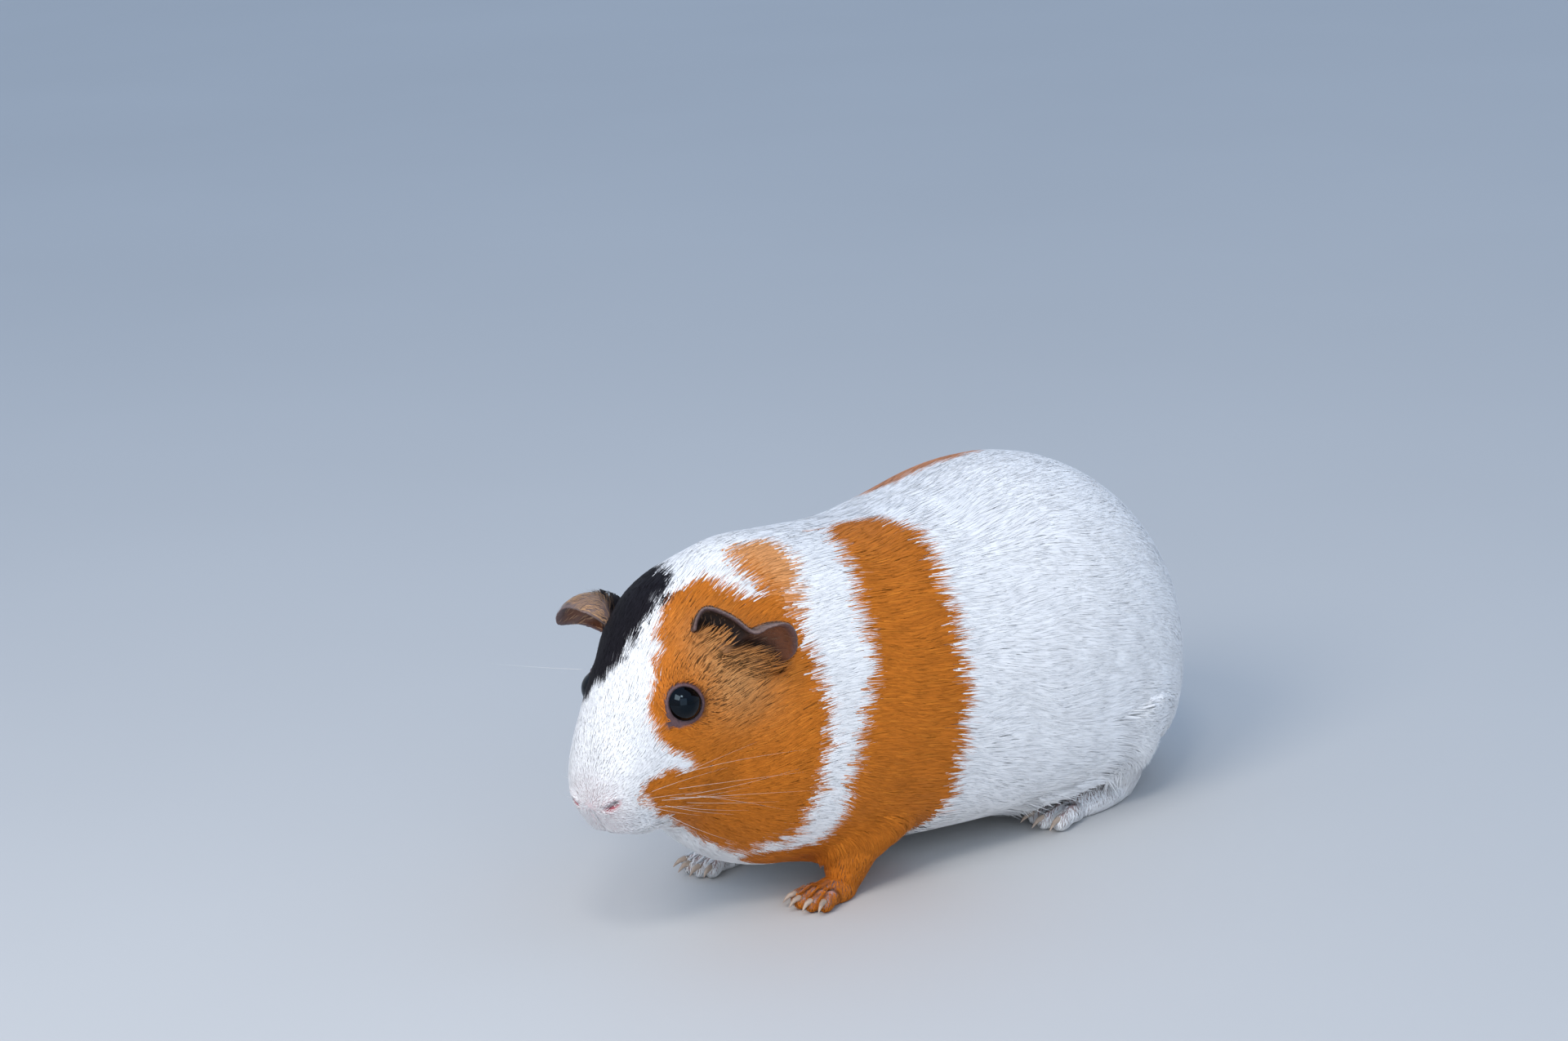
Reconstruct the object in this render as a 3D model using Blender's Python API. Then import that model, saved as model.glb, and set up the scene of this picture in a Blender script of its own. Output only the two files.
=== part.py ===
"""A life-size guinea pig that stands with its head lowered, as one still model in fifteen solids.

Frame: metres, +Z up. The animal faces -Y, its left side is +X, and its soles stand on Z = 0. The
origin is the centre of the whole model's box, at floor level. All sizes below are millimetres, and
they reach out to the tips of the coat.

The trunk and the head are lofts of egg-shaped cross-sections. They are joined with the upper legs,
melted into one body, and parted again with thin cuts. Feet, ears and eyes are modelled on their own
and set into that body. Until the last step, Y = 0 is level with the eyes.
"""

from math import cos, pi, radians, sin

import bmesh
import bpy
import numpy as np
from mathutils import Matrix, Vector

MM = 0.001
GAP = 0.3  # left between neighbouring solids
SIDES = {"left": 1, "right": -1}

# ---- Sizes ----

# Each station of a loft: where it is along the axis, half width, top, bottom, level of the widest
# point, squareness of its lower half (2 is an ellipse). The first and last close it in a round end.
# The trunk runs along Y from inside the head to the rump, and its levels are heights over the floor.
TRUNK = (
    (-3.0, 0.0, 46.0, 46.0, 46.0, 2.0),
    (6.0, 16.0, 76.0, 26.0, 47.0, 2.0),
    (17.0, 22.5, 92.0, 15.0, 49.0, 2.0),
    (32.0, 29.5, 96.8, 8.5, 47.0, 2.1),
    (52.0, 35.5, 94.8, 6.5, 45.0, 2.3),
    (76.0, 40.0, 92.0, 5.0, 42.0, 2.6),
    (100.0, 44.0, 93.5, 4.0, 40.0, 3.0),
    (124.0, 46.5, 96.5, 3.5, 39.0, 3.2),
    (147.0, 45.5, 93.5, 3.5, 38.5, 3.2),
    (165.0, 39.0, 83.0, 4.5, 38.0, 3.0),
    (178.5, 25.5, 65.5, 11.0, 37.0, 2.4),
    (185.0, 0.0, 37.0, 37.0, 37.0, 2.0),
)
# The head runs forward from the nape to the nose. Its origin is midway between the eyes.
HEAD = (
    (-60.0, 0.0, -18.0, -18.0, -18.0, 2.0),
    (-48.0, 24.0, 10.0, -46.0, -17.0, 2.0),
    (-34.0, 28.0, 17.5, -48.0, -18.0, 2.1),
    (-22.0, 27.2, 20.5, -47.5, -18.5, 2.2),
    (-11.0, 24.2, 19.5, -44.5, -18.5, 2.2),
    (0.0, 19.6, 15.0, -41.0, -17.0, 2.2),
    (10.0, 16.3, 9.4, -35.5, -16.0, 2.2),
    (18.0, 13.8, 4.2, -29.0, -14.5, 2.3),
    (24.5, 11.3, -2.0, -24.6, -14.0, 2.3),
    (28.3, 7.4, -7.5, -20.8, -14.0, 2.2),
    (29.8, 0.0, -13.2, -13.2, -13.2, 2.0),
)
TOP_SQUARENESS = 2.1
RING_POINTS = 40
RINGS_BETWEEN = 6  # rings from one station to the next
MELT_VOXEL, MELT_TURNS = 1.8, 12  # cell size and smoothing turns of the one melted body
BODY_TRIANGLES = 2400

EYES_AT = (0.0, 0.0, 63.5)  # midway between the eyes
HEAD_DOWN, HEAD_TURN, HEAD_ROLL = 24.0, 6.0, 2.0  # degrees: lowered, turned to its left, left side up

# The points below are given in the head's frame, as (forward, left, up), for its left side.
EYE_CENTRE = (-0.5, 13.3, -0.3)
EYE_RADIUS = 5.3
EYE_SEGMENTS, EYE_RINGS = 16, 9

# An ear is a thin leaf from a root inside the head to a free rim. The left one stands up, with two
# lobes and a notch between them. The right one is folded down over its hollow like a hood.
EAR_ROOT = {
    "left": (
        (-13.0, 12.5, 12.0),
        (-12.4, 15.3, 8.8),
        (-14.2, 18.6, 4.2),
        (-17.2, 22.0, -2.8),
        (-20.9, 24.2, -6.0),
    ),
    "right": (
        (-10.8, 13.4, 10.4),
        (-15.0, 15.6, 11.2),
        (-19.0, 17.8, 10.0),
        (-21.0, 19.8, 6.8),
        (-19.0, 20.8, 3.2),
    ),
}
EAR_RIM = {
    "left": (
        (-10.6, 17.1, 14.7),
        (-11.8, 19.3, 19.2),
        (-13.9, 22.1, 21.1),
        (-16.2, 26.7, 16.9),
        (-16.6, 31.5, 12.4),
        (-18.0, 36.2, 14.0),
        (-20.8, 39.2, 13.0),
        (-22.9, 37.9, 7.1),
        (-23.7, 33.6, -0.3),
        (-22.8, 27.5, -4.7),
    ),
    "right": (
        (-10.7, 14.2, 11.3),
        (-9.6, 15.4, 14.9),
        (-9.4, 18.8, 16.9),
        (-12.1, 25.8, 15.1),
        (-14.3, 31.8, 12.2),
        (-15.0, 35.3, 9.7),
        (-15.9, 38.4, 6.7),
        (-17.3, 40.3, 3.0),
        (-21.1, 37.9, 0.3),
        (-17.5, 25.5, 2.0),
    ),
}
EAR_THICK, EAR_RIM_THICK = 2.2, 1.0
EAR_LIFT = {"left": (-2.6, -1.2, 0.3), "right": (-2.4, -0.3, 2.6)}  # how far the middle is hollowed
EAR_ACROSS, EAR_ALONG = 4, 20  # steps from root to rim, and along the root
EAR_PROBE = 0.02  # step, as a share of the leaf, over which its slope is taken
EAR_VOXEL, EAR_TURNS = 0.4, 2  # the leaf crosses itself where it rolls up, so it is melted too
EAR_TRIANGLES = 420

# Limbs: points from the top down as (out from the middle, back from the eyes, height, radius).
FORELEG = (
    (21.0, 57.0, 33.0, 13.0),
    (22.5, 58.0, 20.0, 9.5),
    (21.5, 50.0, 12.0, 7.0),
    (21.0, 46.0, 6.0, 5.6),
)
HINDLEG = (
    (26.5, 143.0, 38.0, 20.5),
    (30.0, 141.0, 26.0, 18.0),
    (32.5, 142.0, 14.0, 11.0),
    (33.0, 144.0, 6.0, 6.2),
)
# The cuts around the limbs are round-ended cones through two such points.
FORELEG_CUT = ((21.0, 59.0, 33.0, 16.0), (21.5, 47.0, 2.0, 10.0))
HINDLEG_CUT = ((28.0, 143.0, 38.0, 23.5), (33.0, 144.0, 2.0, 11.0))
# The cut between leg and foot is an upright cylinder: out, back, height of its top, radius.
FORE_ANKLE = (21.3, 47.3, 8.5, 8.2)
HIND_ANKLE = (32.8, 143.2, 9.5, 9.5)

# Paws: the pad as (half width, half length, height), how far forward of the ankle its middle lies,
# the toes as (turn outward in degrees, length, sideways place on the pad) with the inner toe first,
# the toes' radius and the claws' length. Pads and toes reach below the floor and are cut flat there.
FORE_TOES = ((-16.0, 6.0, -3.0), (-5.0, 7.4, -1.1), (7.0, 7.2, 1.1), (20.0, 5.6, 3.0))
HIND_TOES = ((-9.0, 8.6, -2.8), (1.0, 10.0, 0.0), (11.0, 8.8, 2.8))
FORE_PAW = ((4.6, 6.0, 5.4), 3.0, FORE_TOES, 1.7, 3.4)
HIND_PAW = ((4.8, 14.0, 7.0), 9.5, HIND_TOES, 2.1, 4.8)
PAD_BELOW = 0.7  # how far the pads reach below the floor before the cut
TOE_OVERLAP = 3.0  # length of a toe inside its pad
TOE_RISE = 0.5  # how far the knuckles stand above a straight toe
TOE_TAPER = 0.8  # a toe's radius at its tip, as a share
TOE_TIP_HEIGHT = 0.75  # share of a toe's radius, so that its tip reaches a little below the floor
CLAW_OVERLAP = 1.0  # how far a toe reaches past its length, and its claw back into it
CLAW_RADIUS, CLAW_TIP_HEIGHT = 0.9, 0.5
CLAW_TAPER = ((0.0, 1.0), (0.5, 0.8), (1.0, 0.3))  # share of the claw's length, share of its radius

# Base colour and roughness of each part.
LOOKS = {
    "head": ((0.56, 0.33, 0.17), 0.85),
    "neck": ((0.74, 0.62, 0.50), 0.85),
    "trunk": ((0.80, 0.79, 0.77), 0.85),
    "ear": ((0.19, 0.12, 0.10), 0.7),
    "eye": ((0.012, 0.010, 0.012), 0.06),
    "foreleg_left": ((0.55, 0.27, 0.09), 0.85),
    "foreleg_right": ((0.80, 0.79, 0.77), 0.85),
    "hindleg": ((0.80, 0.79, 0.77), 0.85),
    "forefoot": ((0.66, 0.50, 0.42), 0.7),
    "hindfoot": ((0.70, 0.55, 0.49), 0.7),
}

# Cuts across the body, as (back from the eyes at eye level, lean in degrees, turn in degrees).
NECK_FRONT = (28.0, 12.0, 6.0)
NECK_BACK = (50.0, 6.0, 0.0)


# ---- Shapes ----


def add_object(name, mesh):
    data = bpy.data.meshes.new(name)
    mesh.to_mesh(data)
    mesh.free()
    made = bpy.data.objects.new(name, data)
    bpy.context.scene.collection.objects.link(made)
    return made


def curve(a, b, c, d, t):
    """Catmull-Rom curve from b to c."""
    return 0.5 * (2 * b + (c - a) * t + (2 * a - 5 * b + 4 * c - d) * t**2 + (3 * b - a - 3 * c + d) * t**3)


def skin_rings(name, rings, poles):
    """A closed body from rings of points and the two points that close its ends."""
    mesh = bmesh.new()
    rings = [[mesh.verts.new(Vector(p) * MM) for p in ring] for ring in rings]
    count = len(rings[0])
    for a, b in zip(rings, rings[1:]):
        for j in range(count):
            k = (j + 1) % count
            mesh.faces.new((a[j], a[k], b[k], b[j]))
    for ring, pole in ((rings[0], poles[0]), (rings[-1], poles[1])):
        tip = mesh.verts.new(Vector(pole) * MM)
        for j in range(count):
            mesh.faces.new((tip, ring[j], ring[(j + 1) % count]))
    bmesh.ops.recalc_face_normals(mesh, faces=mesh.faces)
    return add_object(name, mesh)


def loft(name, stations):
    """A closed body of egg-shaped sections, with (along, side, up) as its X, Y and Z."""
    rows = [
        np.array((at, w, top - level, level - low, level, n)) for at, w, top, low, level, n in stations
    ]
    over = np.array((1, -1, -1, -1, 1, 1))  # what a section becomes past its pole
    rows = [rows[1] * over, *rows, rows[-2] * over]
    turn = np.linspace(0, 2 * pi, RING_POINTS, endpoint=False)
    rings = []
    for i in range(1, len(rows) - 2):
        for step in range(RINGS_BETWEEN):
            at, w, up, down, level, n = curve(*rows[i - 1 : i + 3], step / RINGS_BETWEEN)
            power = 2 / np.where(np.sin(turn) > 0, TOP_SQUARENESS, n)
            side = w * np.sign(np.cos(turn)) * np.abs(np.cos(turn)) ** power
            rise = np.sign(np.sin(turn)) * np.abs(np.sin(turn)) ** power
            high = level + rise * np.where(rise > 0, up, down)
            rings.append([(at, s, h) for s, h in zip(side, high)])
    poles = [(rows[k][0], 0, rows[k][4]) for k in (1, -2)]
    return skin_rings(name, rings[1:], poles)


def cap(frame, sign, latitude=radians(48)):
    """The one ring between the end of a tube and the pole of its rounded end."""
    centre, way, radius, across = frame
    return centre + way * radius * sin(latitude) * sign, way, radius * cos(latitude), across


def tube(name, path, sides=16, steps=5, grow=0.0):
    """A round-ended tube through (x, y, z, radius) points, in a smooth curve."""
    knots = [np.array(p, float) for p in path]
    knots = [2 * knots[0] - knots[1], *knots, 2 * knots[-1] - knots[-2]]
    line = [curve(*knots[i - 1 : i + 3], s / steps) for i in range(1, len(knots) - 2) for s in range(steps)]
    line.append(knots[-2])
    centres = [Vector(p[:3]) for p in line]
    radii = [float(p[3]) + grow for p in line]
    ways = [(b - a).normalized() for a, b in zip(centres, centres[1:])]
    ways = [ways[0], *[(a + b).normalized() for a, b in zip(ways, ways[1:])], ways[-1]]
    across = ways[0].orthogonal().normalized()
    frames = []
    for centre, way, radius in zip(centres, ways, radii):
        across = (across - across.dot(way) * way).normalized()
        frames.append((centre, way, radius, across))
    rings = []
    for centre, way, radius, across in (cap(frames[0], -1), *frames, cap(frames[-1], 1)):
        other = way.cross(across)
        turns = [2 * pi * j / sides for j in range(sides)]
        rings.append([centre + radius * (across * cos(t) + other * sin(t)) for t in turns])
    first, last = frames[0], frames[-1]
    poles = (first[0] - first[1] * first[2], last[0] + last[1] * last[2])
    return skin_rings(name, rings, poles)


def apply_modifiers(made):
    """Replaces the object's mesh by what its modifiers make of it."""
    shape = made.evaluated_get(bpy.context.evaluated_depsgraph_get())
    data = bpy.data.meshes.new_from_object(shape)
    made.modifiers.clear()
    made.data = data
    return made


def melted(made, voxel, turns):
    """Turns a closed body that may cross itself into one even surface."""
    melt = made.modifiers.new("melt", "REMESH")
    melt.mode = "VOXEL"
    melt.voxel_size = voxel * MM
    smooth = made.modifiers.new("smooth", "SMOOTH")
    smooth.factor = 0.5
    smooth.iterations = turns
    return apply_modifiers(made)


def thinned(made, triangles):
    """Thins a closed mesh to about so many triangles."""
    thin = made.modifiers.new("thin", "DECIMATE")
    thin.ratio = triangles / (2 * len(made.data.vertices))  # a closed mesh has 2 triangles a point
    return apply_modifiers(made)


def boolean(made, other, operation):
    step = made.modifiers.new(operation, "BOOLEAN")
    step.operation = operation
    step.solver = "EXACT"
    step.object = other
    return apply_modifiers(made)


def join(made, others):
    """Adds the others to the first by Boolean unions, and removes them."""
    for other in others:
        boolean(made, other, "UNION")
        bpy.data.objects.remove(other)
    return made


def copy_of(made, name):
    other = made.copy()
    other.data = made.data.copy()
    other.name = name
    bpy.context.scene.collection.objects.link(other)
    return other


def keep_side(made, point, normal):
    """Cuts a closed body at a plane and keeps the side that the normal points away from."""
    mesh = bmesh.new()
    mesh.from_mesh(made.data)
    parts = [*mesh.verts, *mesh.edges, *mesh.faces]
    cut = bmesh.ops.bisect_plane(
        mesh, geom=parts, dist=1e-7, plane_co=point, plane_no=normal, clear_outer=True
    )
    edges = [e for e in cut["geom_cut"] if isinstance(e, bmesh.types.BMEdge)]
    bmesh.ops.holes_fill(mesh, edges=edges, sides=0)
    bmesh.ops.recalc_face_normals(mesh, faces=mesh.faces)
    mesh.to_mesh(made.data)
    mesh.free()
    return made


def mirrored(path, side):
    return [(x * side, *rest) for x, *rest in path]


# ---- The body ----

TO_Y = Matrix(((0, 1, 0, 0), (1, 0, 0, 0), (0, 0, 1, 0), (0, 0, 0, 1)))  # along, side to Y, X
FACING = Matrix(((0, 1, 0, 0), (-1, 0, 0, 0), (0, 0, 1, 0), (0, 0, 0, 1)))  # forward, left to -Y, X
HEAD_POSE = (
    Matrix.Translation(Vector(EYES_AT) * MM)
    @ Matrix.Rotation(radians(HEAD_TURN), 4, "Z")
    @ Matrix.Rotation(radians(HEAD_DOWN), 4, "X")
    @ Matrix.Rotation(radians(-HEAD_ROLL), 4, "Y")
    @ FACING
)


def limb_cut(path, side, grow=0.0):
    return tube("cut", mirrored(path, side), sides=18, steps=1, grow=grow)


def ankle_cut(ankle, side, grow=0.0):
    """A cylinder from below the floor up to the ankle."""
    x, y, top, radius = ankle
    depth = 2 * (top + grow) * MM
    bpy.ops.mesh.primitive_cylinder_add(vertices=24, radius=(radius + grow) * MM, depth=depth)
    made = bpy.context.object
    made.data.transform(Matrix.Translation(Vector((x * side, y, 0)) * MM))
    return made


def whole_body():
    """Trunk, head and upper legs, melted into one surface."""
    body = loft("body", TRUNK)
    body.data.transform(TO_Y)
    body.data.flip_normals()
    head = loft("head", HEAD)
    head.data.transform(HEAD_POSE)
    legs = [tube("leg", mirrored(path, side)) for path in (FORELEG, HINDLEG) for side in SIDES.values()]
    join(body, [head, *legs])
    return melted(body, MELT_VOXEL, MELT_TURNS)


def ear(name, side_name):
    """A closed leaf: thin lens-shaped sections, one after the other along its root."""
    knots = []
    for points in (EAR_ROOT[side_name], EAR_RIM[side_name]):
        row = [np.array(p) for p in points]
        knots.append([2 * row[0] - row[1], *row, 2 * row[-1] - row[-2]])

    def along(row, t):
        spans = len(row) - 3
        i = min(int(t * spans), spans - 1)
        return curve(*row[i : i + 4], t * spans - i)

    def sheet(t, v):
        root, rim = (along(row, t) for row in knots)
        lift = np.array(EAR_LIFT[side_name]) * 4 * v * (1 - v) * sin(pi * t)
        return root + (rim - root) * v + lift

    rings = []
    for i in range(EAR_ALONG + 1):
        t = i / EAR_ALONG
        top, bottom = [], []
        for j in range(EAR_ACROSS + 1):
            v = j / EAR_ACROSS
            here = sheet(t, v)
            ahead, behind = sheet(min(t + EAR_PROBE, 1), v), sheet(max(t - EAR_PROBE, 0), v)
            way = np.cross(ahead - behind, sheet(t, v + EAR_PROBE) - here)
            way *= (EAR_THICK + (EAR_RIM_THICK - EAR_THICK) * v) / 2 / np.linalg.norm(way)
            top.append(here + way)
            bottom.append(here - way)
        rings.append([*top, *reversed(bottom)])
    poles = [np.mean(rings[k], axis=0) for k in (0, -1)]
    made = skin_rings(name, rings[1:-1], poles)
    thinned(melted(made, EAR_VOXEL, EAR_TURNS), EAR_TRIANGLES)
    side = SIDES[side_name]
    made.data.transform(Matrix.Scale(side, 4, (0, 1, 0)))
    if side < 0:
        made.data.flip_normals()
    made.data.transform(HEAD_POSE)
    return made


def eye(name, side, grow=0.0):
    radius = (EYE_RADIUS + grow) * MM
    bpy.ops.mesh.primitive_uv_sphere_add(segments=EYE_SEGMENTS, ring_count=EYE_RINGS, radius=radius)
    made = bpy.context.object
    made.name = name
    forward, left, up = EYE_CENTRE
    made.data.transform(HEAD_POSE @ Matrix.Translation(Vector((forward, left * side, up)) * MM))
    return made


def claw(start, end, radius, sides=5):
    """A cone from a round start to a blunt tip."""
    way = (end - start).normalized()
    across = way.orthogonal().normalized()
    other = way.cross(across)
    rings = []
    for place, share in CLAW_TAPER:
        centre, size = start.lerp(end, place), radius * share
        turns = [2 * pi * j / sides for j in range(sides)]
        rings.append([centre + size * (across * cos(t) + other * sin(t)) for t in turns])
    return skin_rings("claw", rings, (start, end))


def add_paw(made, side, heel, pad, ahead, toes, toe_radius, claw_length):
    """Adds a pad and toes with claws to the end of a limb, and cuts them flat at the floor."""
    x, y = heel[:2]
    half_width, half_length, height = pad
    bpy.ops.mesh.primitive_uv_sphere_add(segments=12, ring_count=6, radius=MM)
    sole = bpy.context.object
    sole.data.transform(
        Matrix.Translation(Vector((x, y - ahead, (height - PAD_BELOW) / 2)) * MM)
        @ Matrix.Diagonal((half_width, half_length, (height + PAD_BELOW) / 2, 1))
    )
    pieces = [sole]
    for turn, length, place in toes:
        way = Vector((sin(radians(turn)), -cos(radians(turn)), 0))
        start = Vector((x + place, y - ahead - half_length + TOE_OVERLAP, toe_radius + TOE_RISE))
        knuckle = start + way * (length / 2) + Vector((0, 0, TOE_RISE))
        tip = start + way * (length + CLAW_OVERLAP)
        tip.z = toe_radius * TOE_TIP_HEIGHT
        line = [(*start, toe_radius), (*knuckle, toe_radius), (*tip, toe_radius * TOE_TAPER)]
        pieces.append(tube("toe", line, sides=6, steps=1))
        end = tip + way * (claw_length + CLAW_OVERLAP)
        end.z = CLAW_TIP_HEIGHT
        pieces.append(claw(tip, end, CLAW_RADIUS))
    for piece in pieces:
        piece.data.transform(Matrix.Scale(side, 4, (1, 0, 0)))
        if side < 0:
            piece.data.flip_normals()
    return keep_side(join(made, pieces), (0, 0, 0), (0, 0, -1))


def swollen(made, name, grow):
    """A copy with its faces moved outward."""
    other = copy_of(made, name)
    step = other.modifiers.new("grow", "DISPLACE")
    step.strength = grow * MM
    step.mid_level = 0.0
    return apply_modifiers(other)


def plane(cut, shift):
    """Point and backward normal of a cut, moved along its normal."""
    back, lean, turn = cut
    turned = Matrix.Rotation(radians(turn), 3, "Z") @ Matrix.Rotation(radians(lean), 3, "X")
    normal = turned @ Vector((0, 1, 0))
    return Vector((0, back, EYES_AT[2])) * MM + normal * shift * MM, normal


def paint(made, colour, roughness):
    """Gives the part its own material, and smooth shading with sharp rims."""
    material = bpy.data.materials.new(made.name)
    material.use_nodes = True
    shader = material.node_tree.nodes["Principled BSDF"]
    shader.inputs["Base Color"].default_value = (*colour, 1.0)
    shader.inputs["Roughness"].default_value = roughness
    shader.inputs["Metallic"].default_value = 0.0
    made.data.materials.clear()
    made.data.materials.append(material)
    made.data.shade_smooth()
    made.data.set_sharp_from_angle(angle=radians(45))


# ---- Making and parting it ----

for old in list(bpy.data.objects):
    bpy.data.objects.remove(old)

trunk = whole_body()
trunk.name = "trunk"
thinned(trunk, BODY_TRIANGLES)
parts = {"trunk": trunk}

for side_name, side in SIDES.items():
    for end, path, cut, ankle, paw in (
        ("fore", FORELEG, FORELEG_CUT, FORE_ANKLE, FORE_PAW),
        ("hind", HINDLEG, HINDLEG_CUT, HIND_ANKLE, HIND_PAW),
    ):
        leg = boolean(copy_of(trunk, f"{end}leg_{side_name}"), limb_cut(cut, side), "INTERSECT")
        boolean(trunk, limb_cut(cut, side, GAP), "DIFFERENCE")
        foot = boolean(copy_of(leg, f"{end}foot_{side_name}"), ankle_cut(ankle, side), "INTERSECT")
        parts[foot.name] = add_paw(foot, side, path[-1], *paw)
        parts[leg.name] = boolean(leg, ankle_cut(ankle, side, GAP), "DIFFERENCE")

head, neck = copy_of(trunk, "head"), copy_of(trunk, "neck")
for made, cut, shift, direction in (
    (head, NECK_FRONT, -GAP / 2, 1),
    (neck, NECK_FRONT, GAP / 2, -1),
    (neck, NECK_BACK, -GAP / 2, 1),
    (trunk, NECK_BACK, GAP / 2, -1),
):
    point, normal = plane(cut, shift)
    keep_side(made, point, normal * direction)
parts.update(head=head, neck=neck)

around_ears = [swollen(head, "cut", GAP), swollen(neck, "cut", GAP)]
for side_name, side in SIDES.items():
    leaf = ear(f"ear_{side_name}", side_name)
    for around in around_ears:
        boolean(leaf, around, "DIFFERENCE")
    boolean(head, eye("cut", side, GAP), "DIFFERENCE")
    parts[leaf.name] = leaf
    parts[f"eye_{side_name}"] = eye(f"eye_{side_name}", side)

for extra in [made for made in bpy.data.objects if made not in parts.values()]:
    bpy.data.objects.remove(extra)

corners = np.array([v.co for made in parts.values() for v in made.data.vertices])
low, high = corners.min(axis=0), corners.max(axis=0)
centre = (low + high) / 2
for name, made in parts.items():
    paint(made, *LOOKS.get(name) or LOOKS[name.rsplit("_", 1)[0]])
    made.data.transform(Matrix.Translation((-centre[0], -centre[1], -low[2])))
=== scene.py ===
"""The looks of the guinea pig: one skin over its flesh, eyes, claws, whiskers and a coat of tufts.

Lengths are millimetres unless a name says otherwise, and MM turns them into Blender's metres. The row
frame is +Z up with the animal facing -Y and its left side at +X. The head has a frame of its own,
(forward, left, up), which starts midway between the eyes and leans and turns with the head.
"""

from math import cos, pi, radians, sin

import bmesh
import bpy
import numpy as np
from mathutils import Matrix, Vector
from mathutils.bvhtree import BVHTree


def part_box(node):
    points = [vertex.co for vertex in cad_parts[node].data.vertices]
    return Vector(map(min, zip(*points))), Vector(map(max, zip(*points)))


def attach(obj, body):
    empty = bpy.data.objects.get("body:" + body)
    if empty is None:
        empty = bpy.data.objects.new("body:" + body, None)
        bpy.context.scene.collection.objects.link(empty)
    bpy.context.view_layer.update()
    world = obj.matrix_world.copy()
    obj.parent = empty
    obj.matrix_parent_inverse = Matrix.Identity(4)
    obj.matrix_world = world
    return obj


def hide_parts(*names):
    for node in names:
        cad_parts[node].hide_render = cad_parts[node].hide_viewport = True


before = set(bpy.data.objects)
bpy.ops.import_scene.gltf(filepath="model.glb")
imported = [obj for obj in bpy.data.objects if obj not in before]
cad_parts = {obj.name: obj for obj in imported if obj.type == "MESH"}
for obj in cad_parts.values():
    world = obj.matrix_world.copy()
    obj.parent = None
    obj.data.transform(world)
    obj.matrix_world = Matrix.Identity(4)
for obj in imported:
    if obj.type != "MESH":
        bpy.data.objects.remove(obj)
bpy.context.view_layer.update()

MM = 0.001
UP = np.array((0, 0, 1.0))
SIDES = {"left": 1, "right": -1}
FLESH = [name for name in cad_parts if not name.startswith("eye")]
random = np.random.default_rng(7)


# ---- The frames ----


def middle(node):
    low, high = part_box(node)
    return np.array(low + high) / 2 / MM


EYES = {name: middle(f"eye_{name}") for name in SIDES}
EYE_RADIUS = 5.3
EYE_AHEAD, EYE_UP = -0.5, -0.3  # of the eyes, from the start of the head's frame
HEAD_DOWN, HEAD_TURN, HEAD_ROLL = 24.0, 6.0, 2.0  # degrees: lowered, turned to its left, left side up
FACING = Matrix(((0, 1, 0), (-1, 0, 0), (0, 0, 1)))  # forward, left to -Y, X
HEAD_AXES = np.array(
    Matrix.Rotation(radians(HEAD_TURN), 3, "Z")
    @ Matrix.Rotation(radians(HEAD_DOWN), 3, "X")
    @ Matrix.Rotation(radians(-HEAD_ROLL), 3, "Y")
    @ FACING
)
HEAD_START = (EYES["left"] + EYES["right"]) / 2 - HEAD_AXES @ (EYE_AHEAD, 0, EYE_UP)
HEAD_CORE = -14.0  # level of the line that angles round the head are measured about
BODY_CORE = 45.0  # the same for the body, as a height over the floor


def to_head(points):
    return (points - HEAD_START) @ HEAD_AXES


def from_head(points):
    return np.asarray(points, float) @ HEAD_AXES.T + HEAD_START


def round_head(points):
    """(forward, degrees from the top towards the left) of points in the row frame."""
    forward, left, up = to_head(points).T
    return forward, np.degrees(np.arctan2(left, up - HEAD_CORE))


def round_body(points):
    """(along Y, degrees from the top towards the left)."""
    x, y, z = points.T
    return y, np.degrees(np.arctan2(x, z - BODY_CORE))


def smooth(low, high, value):
    t = np.clip((value - low) / (high - low), 0, 1)
    return t * t * (3 - 2 * t)


def unit(vectors):
    return vectors / np.maximum(np.linalg.norm(vectors, axis=-1, keepdims=True), 1e-9)


def flattened(ways, normals):
    """Unit directions: the ways without their part along the normals."""
    return unit(ways - (ways * normals).sum(axis=1)[:, None] * normals)


def mix(colour, amount, tint):
    amount = np.asarray(amount)[:, None]
    return colour * (1 - amount) + amount * np.asarray(tint)


def waves(points, size, seed, count=14):
    """Smooth noise of about -1 to 1, made of waves in random directions."""
    draw = np.random.default_rng(seed)
    ways = unit(draw.normal(size=(count, 3))) * draw.uniform(0.6, 1.6, (count, 1)) * 2 * pi / size
    return np.sin(points @ ways.T + draw.uniform(0, 2 * pi, count)).sum(axis=1) / count**0.5


# ---- Markings ----

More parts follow.
